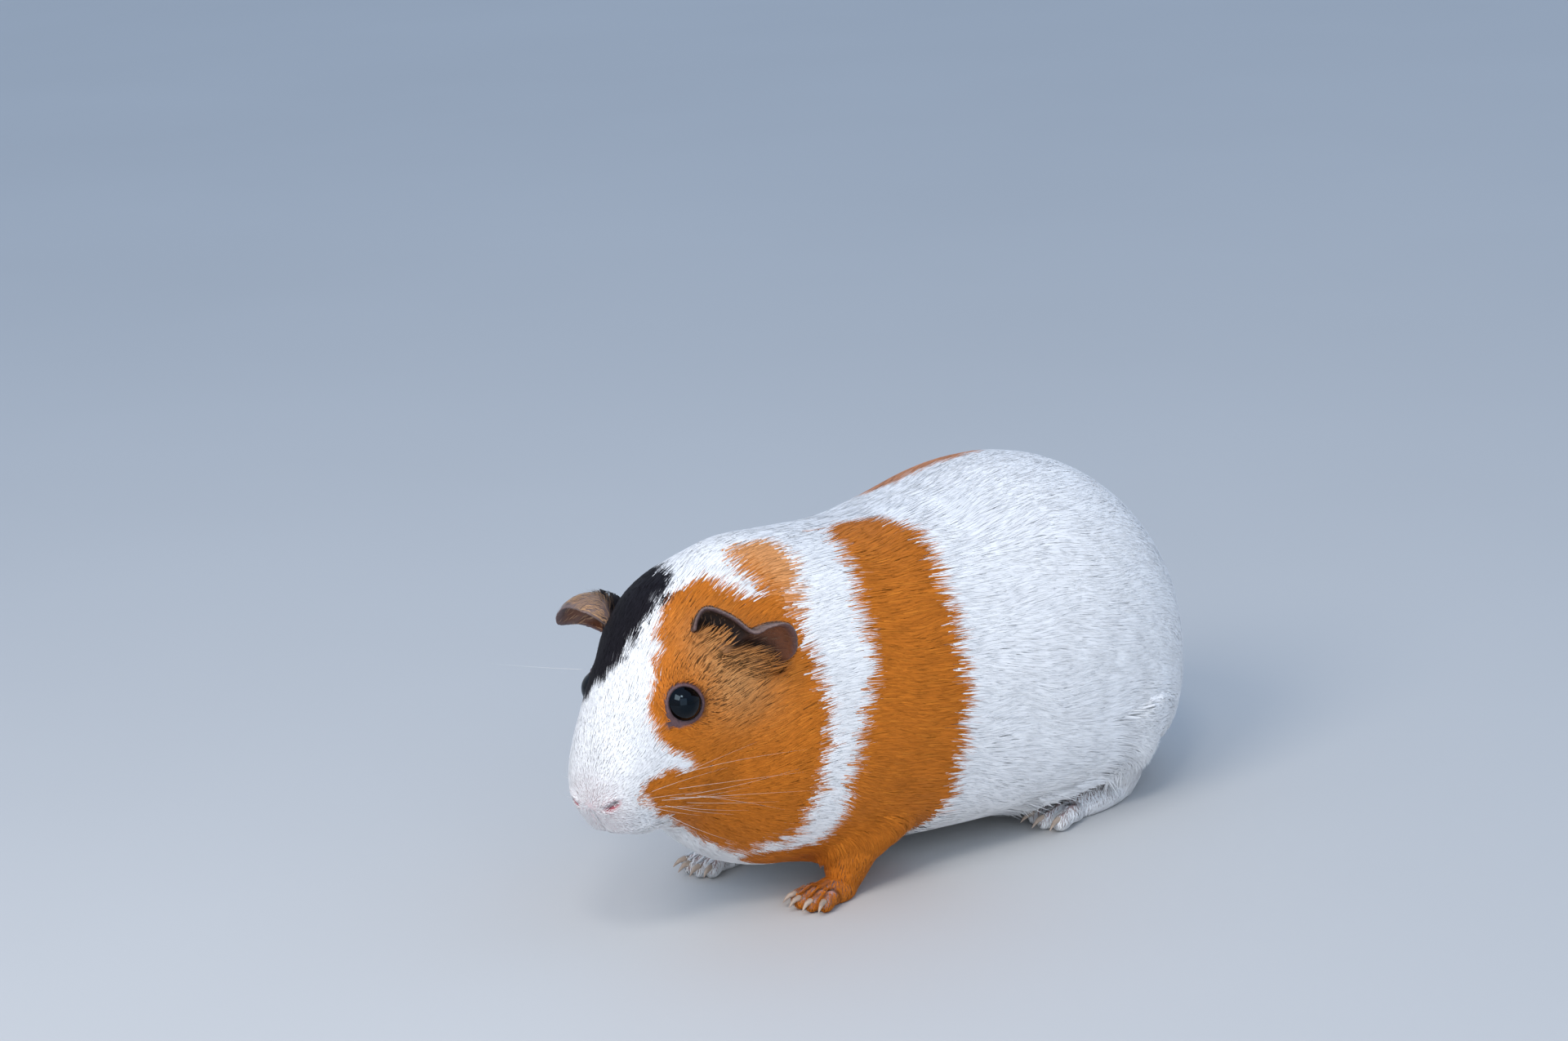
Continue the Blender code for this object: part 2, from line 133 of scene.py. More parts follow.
# Each patch is an outline of (place along, degrees round from the top towards the left) points. On the
# head the place is along its forward axis, and on the body along Y.
LEFT_FACE = (
    (-28, 19), (-25, 12), (-21, 10), (-17, 9), (-12, 11), (-8, 14), (-4, 18), (0, 22), (4, 26), (7, 29),
    (9.5, 36), (11, 47), (10, 60), (8.5, 75), (7, 92), (11.5, 83), (15.5, 73), (18.5, 70), (21.8, 76),
    (21.5, 100), (18.5, 128), (14.5, 150), (8, 166), (1, 160), (-7, 149), (-13, 136), (-20, 121), (-25, 110),
    (-28, 98), (-30, 86), (-32.5, 73), (-34.5, 61), (-37, 56), (-43, 49), (-47.5, 41), (-50, 32),
    (-49, 22), (-42, 14), (-37.5, 19), (-34, 30), (-32.5, 41), (-30, 38), (-28, 30),
)
BLACK_CROWN = (
    (-28, -8), (-25, 1), (-18, 7), (-13, 9), (-7, 7), (-2, 3.5), (3, 1.5), (6.5, -4), (9, -14), (10.5, -30),
    (9, -52), (5, -68), (-4, -76), (-14, -84), (-24, -86), (-31, -74), (-35, -56), (-34, -36), (-31, -18),
)
RIGHT_FACE = (
    (8, -50), (14, -48), (19, -45), (22, -62), (21, -92), (17, -124), (10, -148), (0, -156), (-12, -140),
    (-24, -116), (-30, -96), (-30, -78), (-20, -74), (-4, -66),
)
SHOULDERS = (
    (-23, 8), (-22, 12), (-24, 22), (-28.5, 34), (-30, 44), (-30.5, 56), (-33, 68), (-36.5, 81), (-39, 94),
    (-40, 110), (-40.5, 126), (-43, 141), (-46, 155), (-45, 170), (-14, 170), (-10, 150), (-8.5, 130),
    (-8, 115), (-6, 98), (-4.5, 84), (-3.5, 66), (-2, 50), (0.5, 36), (3, 24), (2.5, 17), (-2, 10), (-9, 4),
)
RIGHT_BACK = (
    (18, -12), (29, -10), (42, -6.5), (52, -6), (58, -18), (61, -42), (56, -66), (40, -80), (22, -84),
    (10, -74), (4, -54), (8, -30),
)
HEAD_SPREAD, BODY_SPREAD = 0.36, 0.62  # millimetres round the head and the body for each degree
ORANGE_LEG = ((8, -60, -5), (60, -18, 17))  # low and high corner of the box round the left foreleg
HEAD_END = (-64, -54)  # where the head's patches stop, behind the head
NAPE_START = (33, 42)  # where the orange turns into the nape's, behind the eyes
WANDER = ((0.9, 5.0, 11), (0.5, 2.2, 12))  # how far outlines wander, over which length, and a seed

WHITE = (0.93, 0.93, 0.94)
ORANGE = (0.56, 0.160, 0.014)
BLACK = (0.009, 0.007, 0.010)
GOLD = (0.56, 0.285, 0.11)
NAPE = (0.72, 0.31, 0.11)
PINK = (0.60, 0.40, 0.38)


def inside(outline, along, around, spread):
    """Millimetres from each point to a closed outline, positive inside it."""
    corners = np.array(outline, float) * (1, spread)
    x, y = np.asarray(along, float), np.asarray(around, float) * spread
    nearest, crossed = np.full(len(x), 1e9), np.zeros(len(x), bool)
    for (ax, ay), (bx, by) in zip(corners, np.roll(corners, -1, axis=0)):
        dx, dy = bx - ax, by - ay
        t = np.clip(((x - ax) * dx + (y - ay) * dy) / max(dx * dx + dy * dy, 1e-9), 0, 1)
        nearest = np.minimum(nearest, np.hypot(x - ax - t * dx, y - ay - t * dy))
        if ay != by:
            crossed ^= ((ay > y) != (by > y)) & (x < ax + (y - ay) * dx / dy)
    return np.where(crossed, nearest, -nearest)


def ticking(forward, angle):
    """How far the orange is mixed with gold and black hairs: behind the left eye and under its ear."""
    behind = np.exp(-(((forward + 13) / 9) ** 2) - (((angle - 62) / 24) ** 2))
    front = 0.5 * np.exp(-(((forward + 13) / 6) ** 2) - (((angle - 36) / 13) ** 2))
    return np.clip(behind + front, 0, 1)


def marking(points, edge=0.8):
    """The coat's colour at points of the row frame. Edge is how softly one colour meets the next."""
    forward, angle = round_head(points)
    along, around = round_body(points)
    wander = sum(far * waves(points, size, seed) for far, size, seed in WANDER)
    near_head = smooth(*HEAD_END, forward)
    colour = np.tile(np.array(WHITE), (len(points), 1))

    def lay(amount, tint):
        colour[:] = mix(colour, amount, tint)

    def patch(outline, on_head):
        place = (forward, angle, HEAD_SPREAD) if on_head else (along, around, BODY_SPREAD)
        return smooth(-edge, edge, inside(outline, *place) + wander)

    orange = np.array(ORANGE) * (1 + 0.04 * waves(points, 9.0, 13))[:, None]
    face = np.maximum(patch(LEFT_FACE, True), patch(RIGHT_FACE, True)) * near_head
    on_leg = np.all((points > ORANGE_LEG[0]) & (points < ORANGE_LEG[1]), axis=1)
    lay(np.maximum(patch(SHOULDERS, False), on_leg), orange)
    lay(0.9 * patch(RIGHT_BACK, False), orange)
    lay(face, mix(orange, smooth(*NAPE_START, -forward), NAPE))
    lay(0.75 * ticking(forward, angle) * face, GOLD)
    lay(patch(BLACK_CROWN, True) * near_head, BLACK)
    return colour


# ---- Mesh helpers ----


def add_object(name, data):
    made = bpy.data.objects.new(name, data)
    bpy.context.scene.collection.objects.link(made)
    return made


def add_mesh(name, points, faces):
    """An object from points in millimetres and faces of one size, given as rows of an array."""
    data = bpy.data.meshes.new(name)
    faces = np.asarray(faces, np.int32)
    data.vertices.add(len(points))
    data.vertices.foreach_set("co", (np.asarray(points, np.float32) * MM).ravel())
    data.loops.add(faces.size)
    data.loops.foreach_set("vertex_index", faces.ravel())
    data.polygons.add(len(faces))
    data.polygons.foreach_set("loop_start", np.arange(len(faces), dtype=np.int32) * faces.shape[1])
    data.update(calc_edges=True)
    return add_object(name, data)


def read(items, field, width=3, kind=np.float32):
    """One field of a mesh's items, as a row for each item."""
    found = np.empty(len(items) * width, kind)
    items.foreach_get(field, found)
    return found.reshape(-1, width)


def points_of(made):
    return read(made.data.vertices, "co").astype(float) / MM


def set_points(made, points):
    made.data.vertices.foreach_set("co", (points * MM).astype(np.float32).ravel())
    made.data.update()


def normals_of(made):
    return read(made.data.vertices, "normal").astype(float)


def triangles_of(made):
    made.data.calc_loop_triangles()
    return read(made.data.loop_triangles, "vertices", kind=np.int32)


def apply_modifiers(made):
    shape = made.evaluated_get(bpy.context.evaluated_depsgraph_get())
    data = bpy.data.meshes.new_from_object(shape)
    made.modifiers.clear()
    made.data = data
    return made


def melt(made, voxel, turns):
    """Turns overlapping closed shapes into one surface."""
    step = made.modifiers.new("melt", "REMESH")
    step.mode = "VOXEL"
    step.voxel_size = voxel * MM
    step = made.modifiers.new("smooth", "SMOOTH")
    step.factor, step.iterations = 0.5, turns
    return apply_modifiers(made)


def joined(name, shapes):
    """One object from (points, triangles or quads) shapes, which are left as they overlap."""
    mesh = bmesh.new()
    for points, faces in shapes:
        corners = [mesh.verts.new(Vector(p) * MM) for p in points]
        for face in faces:
            mesh.faces.new([corners[i] for i in face])
    bmesh.ops.recalc_face_normals(mesh, faces=mesh.faces)
    data = bpy.data.meshes.new(name)
    mesh.to_mesh(data)
    mesh.free()
    return add_object(name, data)


def node_shape(node, grow):
    """Points and faces of a CAD node, with its faces moved outward."""
    copy = add_object("copy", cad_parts[node].data.copy())
    mesh = bmesh.new()
    mesh.from_mesh(copy.data)
    bmesh.ops.remove_doubles(mesh, verts=mesh.verts, dist=1e-6)
    mesh.to_mesh(copy.data)
    mesh.free()
    points = points_of(copy) + normals_of(copy) * grow
    faces = [list(p.vertices) for p in copy.data.polygons]
    bpy.data.objects.remove(copy)
    return points, faces


def ring_faces(count, size, closed=False):
    """Faces that join rings of points. The last ring meets the first one if they are closed, and
    otherwise two more points, which follow those of the rings, close the ends."""
    faces = []
    for i in range(count if closed else count - 1):
        n = (i + 1) % count
        for j in range(size):
            k = (j + 1) % size
            faces.append((i * size + j, i * size + k, n * size + k, n * size + j))
    if closed:
        return faces
    first, last, base = count * size, count * size + 1, (count - 1) * size
    for j in range(size):
        k = (j + 1) % size
        faces.append((first, k, j))
        faces.append((last, base + j, base + k))
    return faces


ASKEW = (0.31, 0.52, 0.79)  # a direction that no tube starts along


def tube(path, radii, sides, closed=False):
    """Points and faces of a tube along a path, with pointed ends or closed to a loop."""
    path, radii = np.asarray(path, float), np.broadcast_to(radii, len(path)).astype(float)
    if closed:
        ways = unit(np.roll(path, -1, axis=0) - np.roll(path, 1, axis=0))
    else:
        ways = unit(np.gradient(path, axis=0))
    across = unit(np.cross(ways[0], ASKEW))
    turn = np.linspace(0, 2 * pi, sides, endpoint=False)
    rings = []
    for place, way, radius in zip(path, ways, radii):
        across = unit(across - across @ way * way)
        other = np.cross(way, across)
        rings.append(place + radius * (np.cos(turn)[:, None] * across + np.sin(turn)[:, None] * other))
    points = np.concatenate(rings)
    if not closed:
        ends = [path[0] - ways[0] * radii[0], path[-1] + ways[-1] * radii[-1]]
        points = np.concatenate([points, ends])
    return points, ring_faces(len(path), sides, closed)


def ball(centre, radii, segments=24, rings=16):
    """Points and faces of an ellipsoid."""
    turn = np.linspace(0, 2 * pi, segments, endpoint=False)
    points = []
    for i in range(rings):
        lean = pi * (i + 0.5) / rings
        level = np.full(segments, cos(lean))
        points.append(np.stack([sin(lean) * np.cos(turn), sin(lean) * np.sin(turn), level], axis=1))
    points = np.concatenate([*points, [(0, 0, 1), (0, 0, -1)]]) * radii + centre
    return points, ring_faces(rings, segments)


# ---- Feet and claws ----

# The toes as (turn outward in degrees, length, sideways place on the pad), with the inner toe first.
FORE_TOES = ((-16.0, 6.0, -3.0), (-5.0, 7.4, -1.1), (7.0, 7.2, 1.1), (20.0, 5.6, 3.0))
HIND_TOES = ((-9.0, 8.6, -2.8), (1.0, 10.0, 0.0), (11.0, 8.8, 2.8))
# Each paw: the pad's (half width, half length, height), its middle's place behind the front of the
# foot's box, its toes, their radius and the claws' length.
PAWS = {
    "forefoot": ((4.5, 6.0, 5.2), 16.0, FORE_TOES, 1.6, 3.4),
    "hindfoot": ((4.7, 14.0, 6.6), 27.0, HIND_TOES, 2.0, 4.8),
}
TOE_OVERLAP, CLAW_OVERLAP, CLAW_RADIUS = 3.0, 1.4, 0.85
PAD_SINK = 0.4  # lowers the pad's ball and makes it higher, so that the floor cuts it flat
TOE_TIP = 0.6  # how far a toe's flesh reaches past its length
TOE_GAP, CLAW_GAP = 0.6, 0.25  # over the floor
HEEL = (0.0, -0.6, 2.5, 1.6)  # a leg's lowest point: out, back, height, and how much thinner it is
# Toes and claws as points of (share of the length, height over the root, share of the radius).
TOE_BEND = ((0.0, 0.0, 1.0), (0.35, 0.75, 1.05), (0.62, 0.35, 0.88), (0.85, 0.0, 0.94), (1.0, -0.5, 0.7))
CLAW_BEND = ((0.0, 0.3, 0.9), (0.3, 0.75, 1.0), (0.6, 0.55, 0.75), (0.85, -0.25, 0.42), (1.0, -0.9, 0.1))
CLAW_RISE = 0.35  # of its root over the toe's end
# The free part of each leg, from the ankle up: (out, back, height, radius), and how far the ankle's
# axis is from the back of the foot's box.
LEGS = {
    "forefoot": (8.2, ((0.0, 0.0, 6.0, 5.6), (0.4, 2.7, 12.0, 7.0), (1.2, 10.7, 20.0, 9.5))),
    "hindfoot": (9.5, ((0.2, 0.8, 6.0, 6.2), (0.0, -1.2, 14.0, 11.0), (-2.8, -2.2, 26.0, 18.0))),
}
LEG_DEPTH, LEG_LENGTH, LEG_WIDTH, LEG_DENSITY = 0.8, 2.6, 0.20, 10.0  # of the coat on them


def paw(kind, side_name):
    """The shapes of one foot's flesh, and those of its claws."""
    (half_width, half_length, height), behind, toes, toe_radius, claw_length = PAWS[kind]
    side = SIDES[side_name]
    low, high = (np.array(corner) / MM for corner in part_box(f"{kind}_{side_name}"))
    x = middle(f"{kind}_{side_name}")[0]
    y = low[1] + behind
    flesh = [ball((x, y, height / 2 - PAD_SINK), (half_width, half_length, height / 2 + PAD_SINK))]
    behind, path = LEGS[kind]
    ankle = np.array((x, high[1] - behind, 0))
    *heel, thinner = HEEL
    path = ((*heel, path[0][3] - thinner), *path)
    line = [ankle + (side * out, back, up) for out, back, up, _ in path]
    flesh.append(tube(line, [radius - LEG_DEPTH for *_, radius in path], sides=20))
    claws = []
    for turn, length, place in toes:
        way = np.array((side * sin(radians(turn)), -cos(radians(turn)), 0))
        start = np.array((x + side * place, y - half_length + TOE_OVERLAP, toe_radius + TOE_GAP))
        line = [start + way * (length + TOE_TIP) * t + UP * lift for t, lift, _ in TOE_BEND]
        flesh.append(tube(line, [toe_radius * share for *_, share in TOE_BEND], sides=14))
        root = line[-2] + UP * CLAW_RISE
        claw = [root + way * (claw_length + CLAW_OVERLAP) * t + UP * lift for t, lift, _ in CLAW_BEND]
        radii = [CLAW_RADIUS * share for *_, share in CLAW_BEND]
        for point, radius in zip(claw, radii):
            point[2] = max(point[2], CLAW_GAP + radius)
        claws.append(tube(claw, radii, sides=10))
    return flesh, claws


# ---- Ears ----

# An ear is a thin leaf from a root inside the head to a free rim. The left one stands up, with two
# lobes and a notch between them. The right one is folded down over its hollow like a hood.
EAR_ROOT = {
    "left": (
        (-13.0, 12.5, 12.0), (-12.4, 15.3, 8.8), (-14.2, 18.6, 4.2), (-17.2, 22.0, -2.8), (-20.9, 24.2, -6.0),
    ),
    "right": (
        (-10.8, 13.4, 10.4), (-15.0, 15.6, 11.2), (-19.0, 17.8, 10.0), (-21.0, 19.8, 6.8), (-19.0, 20.8, 3.2),
    ),
}
EAR_RIM = {
    "left": (
        (-10.6, 17.1, 14.7), (-11.8, 19.3, 19.2), (-13.9, 22.1, 21.1), (-16.2, 26.7, 16.9),
        (-16.6, 31.5, 12.4), (-18.0, 36.2, 14.0), (-20.8, 39.2, 13.0), (-22.9, 37.9, 7.1),
        (-23.7, 33.6, -0.3), (-22.8, 27.5, -4.7),
    ),
    "right": (
        (-10.7, 14.2, 11.3), (-9.6, 15.4, 14.9), (-9.4, 18.8, 16.9), (-12.1, 25.8, 15.1),
        (-14.3, 31.8, 12.2), (-15.0, 35.3, 9.7), (-15.9, 38.4, 6.7), (-17.3, 40.3, 3.0),
        (-21.1, 37.9, 0.3), (-17.5, 25.5, 2.0),
    ),
}
EAR_LIFT = {"left": (-2.6, -1.2, 0.3), "right": (-2.4, -0.3, 2.6)}  # how far the middle is hollowed
# The ridge that runs down from the notch, and how the rim is rolled forward.
EAR_CREASE = {"left": (1.3, 0.5, -0.3), "right": (0.4, 0.2, -0.1)}
EAR_CURL = {"left": (0.9, 0.2, -0.5), "right": (0.5, 0.1, -0.3)}
EAR_NOTCH, EAR_CREASE_WIDTH = 0.47, 0.075  # shares of its length
EAR_CREASE_PEAK = 0.7  # under 1 moves the crease's height towards the head
EAR_CURL_START = 0.75  # share of the way from root to rim
EAR_THICK, EAR_RIM_THICK = 1.6, 0.9
EAR_EDGE, EAR_EDGE_THIN = 0.93, 0.55  # where its edge is rounded off, and by how much
EAR_ALONG, EAR_ACROSS = 46, 16
EAR_NEAR = (1.0, 1.7)  # from being on the ear's leaf to being off it
EAR_START = (0.16, 0.34)  # where the head's skin turns into the ear's


def spline(row, t):
    """Points of a smooth curve through a row of points, at shares t of its length."""
    row = np.array(row, float)
    row = np.vstack([2 * row[0] - row[1], row, 2 * row[-1] - row[-2]])
    spans = len(row) - 3
    i = np.minimum((t * spans).astype(int), spans - 1)
    u = (t * spans - i)[:, None]
    a, b, c, d = (row[i + k] for k in range(4))
    return 0.5 * (2 * b + (c - a) * u + (2 * a - 5 * b + 4 * c - d) * u**2 + (3 * b - a - 3 * c + d) * u**3)


def ear_sheet(name, t, v):
    """Points of the middle of an ear's leaf in the row frame, and its normals on the hollow side."""

    def place(t, v):
        root, rim = spline(EAR_ROOT[name], t), spline(EAR_RIM[name], t)
        round_ = np.sin(pi * t)
        crease = np.exp(-(((t - EAR_NOTCH) / EAR_CREASE_WIDTH) ** 2))
        crease = crease * np.sin(pi * v**EAR_CREASE_PEAK)
        points = root + (rim - root) * v[:, None]
        points += np.outer(4 * v * (1 - v) * round_, EAR_LIFT[name])
        points += np.outer(crease, EAR_CREASE[name])
        points += np.outer(smooth(EAR_CURL_START, 1, v) * round_, EAR_CURL[name])
        return from_head(points * (1, SIDES[name], 1))

    step = 0.01
    here = place(t, v)
    slope = place(np.minimum(t + step, 1), v) - place(np.maximum(t - step, 0), v)
    out = place(t, np.minimum(v + step, 1)) - place(t, np.maximum(v - step, 0))
    return here, unit(np.cross(slope, out)) * SIDES[name]


def ear_leaf(name):
    """A closed leaf: thin rounded sections, one after the other along its root."""
    t, v = np.linspace(0, 1, EAR_ALONG), np.linspace(0, 1, EAR_ACROSS)
    tt, vv = (grid.ravel() for grid in np.meshgrid(t, v, indexing="ij"))
    here, normal = ear_sheet(name, tt, vv)
    half = (EAR_THICK + (EAR_RIM_THICK - EAR_THICK) * vv)[:, None] / 2
    half = half * (1 - EAR_EDGE_THIN * smooth(EAR_EDGE, 1, vv))[:, None]
    top = (here + normal * half).reshape(EAR_ALONG, EAR_ACROSS, 3)
    bottom = (here - normal * half).reshape(EAR_ALONG, EAR_ACROSS, 3)[:, ::-1]
    rings = np.concatenate([top, bottom], axis=1)
    points = np.vstack([rings.reshape(-1, 3), rings[0].mean(axis=0), rings[-1].mean(axis=0)])
    return points, ring_faces(EAR_ALONG, 2 * EAR_ACROSS)


def ear_places(points, normals):
    """For each point: its share of being on an ear, whether it is on the hollow side, t and v."""
    found = np.zeros((len(points), 4))
    grid = np.meshgrid(np.linspace(0, 1, 60), np.linspace(0, 1, 24), indexing="ij")
    t, v = (g.ravel() for g in grid)
    for name in SIDES:
        here, hollow = ear_sheet(name, t, v)
        low, high = here.min(axis=0) - 2, here.max(axis=0) + 2
        near = np.flatnonzero(np.all((points > low) & (points < high), axis=1))
        gap = np.linalg.norm(points[near][:, None] - here[None], axis=2)
        best = gap.argmin(axis=1)
        on = (1 - smooth(*EAR_NEAR, gap.min(axis=1))) * smooth(*EAR_START, v[best])
        side = (normals[near] * hollow[best]).sum(axis=1)
        found[near] = np.column_stack([on, smooth(-0.2, 0.3, side), t[best], v[best]])
    return found


# ---- The skin ----

BODY_NODES = [n for n in FLESH if n.startswith(("head", "neck", "trunk", "foreleg", "hindleg"))]
CLOSING = 0.35  # how far the solids are swollen, to close the thin cuts between them
BODY_VOXEL, FINE_VOXEL = 1.1, 0.45
BODY_TURNS, FINE_TURNS = 8, 2  # of smoothing
SKIN_TRIANGLES = 190000
FINE_FACE = 19.5  # in front of this place the skin has finer faces, for the nose and the mouth
# The coat at places along the head's frame, from the rump to the nose: how deep it is, how long and
# wide its tufts are, how far some of them lie under others, and how close together they grow.
COAT_DEPTH = ((-60, 2.8), (-40, 2.6), (-22, 2.1), (-8, 1.5), (4, 1.1), (16, 0.75), (24, 0.45), (30, 0.25))
COAT_LENGTH = ((-75, 15.0), (-50, 12.5), (-30, 9.5), (-14, 7.0), (0, 5.0), (12, 3.6), (22, 2.2), (30, 1.1))
COAT_WIDTH = (
    (-75, 0.54), (-50, 0.47), (-30, 0.39), (-14, 0.30), (0, 0.25), (12, 0.20), (22, 0.165), (30, 0.14),
)
COAT_RELIEF = ((-75, 0.05), (-30, 0.07), (0, 0.12), (30, 0.16))
COAT_DENSITY = ((-75, 2.7), (-50, 3.1), (-30, 4.6), (-14, 7.0), (0, 10.0), (12, 13.0), (22, 17.0), (30, 17.0))
GAZE = {name: unit(np.array((0.46, 0.84 * side, 0.30))) for name, side in SIDES.items()}
LID_WIDE, LID_HIGH = 49.0, 56.0  # degrees: half of the opening between the lids, along and upward
LID_RIM = 5.0  # degrees from the opening to the middle of the rim
LID_BACK = 105.0  # degrees: how far round the eye the lids' bowl reaches
LID_RADIUS, LID_THICK, LID_OUT = 0.5, 0.4, 0.1
LID_LOOK = (5, 12)  # points farther than this from the eye, along its gaze and sideways, are off the lids
TEAR_CORNER = (-18.0, 22.0, 8.0)  # degrees: its place round the eye, its width, how far it reaches
TEAR_REACH = 2.0  # how far it reaches over the skin
LEG_NEAR, FOOT_NEAR = (0.5, 3.5), (0.5, 3.0)  # from being on a leg or a foot to being off it
LEG_TOP = (13, 24)  # heights between which a leg becomes body
EYE_THIN, EYE_AROUND = 0.45, 5.0  # by how much the coat is thinner round the eyes, and how far out


def from_line(points, a, b):
    """How far along the line from a to b each point is, as a share, and how far from it."""
    way = b - a
    t = np.clip(((points - a) @ way) / (way @ way), 0, 1)
    return t, np.linalg.norm(points - a - t[:, None] * way, axis=1)


def profile(table, forward):
    places, values = np.array(table).T
    return np.interp(forward, places, values)


def leg_share(points):
    """1 on the free legs and the feet, 0 on the body."""
    share = np.zeros(len(points))
    for kind, (behind, path) in LEGS.items():
        for name, side in SIDES.items():
            low, high = (np.array(c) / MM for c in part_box(f"{kind}_{name}"))
            ankle = np.array(((low[0] + high[0]) / 2, high[1] - behind, 0))
            line = np.array([(ankle[0] + side * out, ankle[1] + back, z, r) for out, back, z, r in path])
            for a, b in zip(line, line[1:]):
                t, away = from_line(points, a[:3], b[:3])
                away = away - (a[3] + t * (b[3] - a[3]))
                share = np.maximum(share, 1 - smooth(*LEG_NEAR, away))
            outside = np.maximum(np.maximum(low - points, points - high), 0)
            share = np.maximum(share, 1 - smooth(*FOOT_NEAR, np.linalg.norm(outside, axis=1)))
    return share * (1 - smooth(*LEG_TOP, points[:, 2]))


def eye_away(points):
    """How far points are from the nearer eye's surface."""
    return np.min([np.linalg.norm(points - EYES[n], axis=1) for n in SIDES], axis=0) - EYE_RADIUS


def eye_share(points, reach):
    """1 at either eye, 0 beyond the reach from its rim."""
    return 1 - smooth(0.3, reach, eye_away(points))


def lid_away(points):
    """How far points are sideways from the outer edge of the nearer eye's lids."""
    found = np.full(len(points), 1e3)
    for name in SIDES:
        gaze, ahead, up = eye_frame(name)
        off = points - EYES[name]
        reach = np.hypot(off @ ahead, off @ up)
        turn = np.degrees(np.arctan2(off @ up, off @ ahead))
        edge = np.radians(lid_opening(turn, 0) + LID_RIM)
        rim = EYE_RADIUS * np.sin(edge) + LID_RADIUS + TEAR_REACH * tear_share(turn)
        is_near = (np.abs(off @ gaze) < LID_LOOK[0]) & (reach < LID_LOOK[1])
        near = np.where(is_near, reach - rim, 1e3)
        found = np.minimum(found, near)
    return found


def coat_depth(points):
    depth = profile(COAT_DEPTH, to_head(points)[:, 0])
    legs = leg_share(points)
    depth = depth * (1 - legs) + LEG_DEPTH * legs
    return depth * (1 - EYE_THIN * eye_share(points, EYE_AROUND))


def eye_frame(name):
    gaze = HEAD_AXES @ GAZE[name]
    ahead = HEAD_AXES[:, 0]
    ahead = unit(ahead - ahead @ gaze * gaze)
    up = HEAD_AXES[:, 2]
    up = unit(up - up @ gaze * gaze - up @ ahead * ahead)
    return gaze, ahead, up


def tear_share(turn):
    """1 at the tear corner, 0 away from it, for degrees round the eye from ahead to up."""
    place, width, _ = TEAR_CORNER
    return np.exp(-((((turn - place + 180) % 360 - 180) / width) ** 2))


def lid_opening(turn, tear=1.0):
    """Half angle of the opening between the lids, at degrees round the eye, with the tear corner or
    without it (tear=0)."""
    opening = LID_WIDE + (LID_HIGH - LID_WIDE) * np.sin(np.radians(turn)) ** 2
    return opening + tear * TEAR_CORNER[2] * tear_share(turn)


def on_eye(name, turn, lean, radius):
    """Points round an eye, from degrees round it, degrees from its gaze, and a radius."""
    gaze, ahead, up = eye_frame(name)
    turn, lean = np.radians(turn)[:, None], np.radians(lean)[:, None]
    around = ahead * np.cos(turn) + up * np.sin(turn)
    return EYES[name] + (gaze * np.cos(lean) + around * np.sin(lean)) * radius


def lids(name, count=72, steps=9):
    """The lids' rim, and the thin bowl that carries it back over the eye."""
    turn = np.linspace(0, 360, count, endpoint=False)
    edge = lid_opening(turn) + LID_RIM
    rim = tube(on_eye(name, turn, edge, EYE_RADIUS + LID_OUT), LID_RADIUS, sides=12, closed=True)
    rows = []
    for reach, shares in ((LID_THICK, np.linspace(0, 1, steps)), (-LID_THICK, np.linspace(1, 0, steps))):
        for share in shares:
            rows.append(on_eye(name, turn, edge + (LID_BACK - edge) * share, EYE_RADIUS + reach))
    return [rim, (np.concatenate(rows), ring_faces(len(rows), count, closed=True))]


def build_skin():
    """The bare body: flesh within the coat, with feet, ears and lids grown onto it."""
    eyes = [ball(EYES[name], EYE_RADIUS) for name in SIDES]
    body = joined("skin", [*(node_shape(n, CLOSING) for n in BODY_NODES), *eyes])
    melt(body, BODY_VOXEL, BODY_TURNS)
    points = points_of(body)
    set_points(body, points - normals_of(body) * (coat_depth(points) + CLOSING)[:, None])
    shapes = [(points_of(body), [list(p.vertices) for p in body.data.polygons])]
    bpy.data.objects.remove(body)
    claws = {}
    for kind in PAWS:
        for name in SIDES:
            flesh, nails = paw(kind, name)
            shapes += flesh
            claws[f"{kind}_{name}"] = nails
    for name in SIDES:
        shapes.append(ear_leaf(name))
        shapes += lids(name)
    skin = joined("skin", shapes)
    melt(skin, FINE_VOXEL, FINE_TURNS)
    return skin, claws


def refine(made, chosen):
    """Splits the faces whose middle the function chooses, each side in two."""
    mesh = bmesh.new()
    mesh.from_mesh(made.data)
    middles = np.array([f.calc_center_median() for f in mesh.faces]) / MM
    picked = chosen(middles)
    edges = {e for f, yes in zip(mesh.faces, picked) if yes for e in f.edges}
    bmesh.ops.subdivide_edges(mesh, edges=list(edges), cuts=1, use_grid_fill=True, smooth=0.0)
    bmesh.ops.triangulate(mesh, faces=mesh.faces)
    mesh.to_mesh(made.data)
    mesh.free()


def groove(points, path, width, depth, inward):
    """A shift of points near a path, along one direction, deepest on the path."""
    path = np.asarray(path, float)
    away = np.full(len(points), 1e9)
    for a, b in zip(path, path[1:]):
        away = np.minimum(away, from_line(points, a, b)[1])
    return np.exp(-((away / width) ** 2))[:, None] * depth * unit(np.asarray(inward, float))


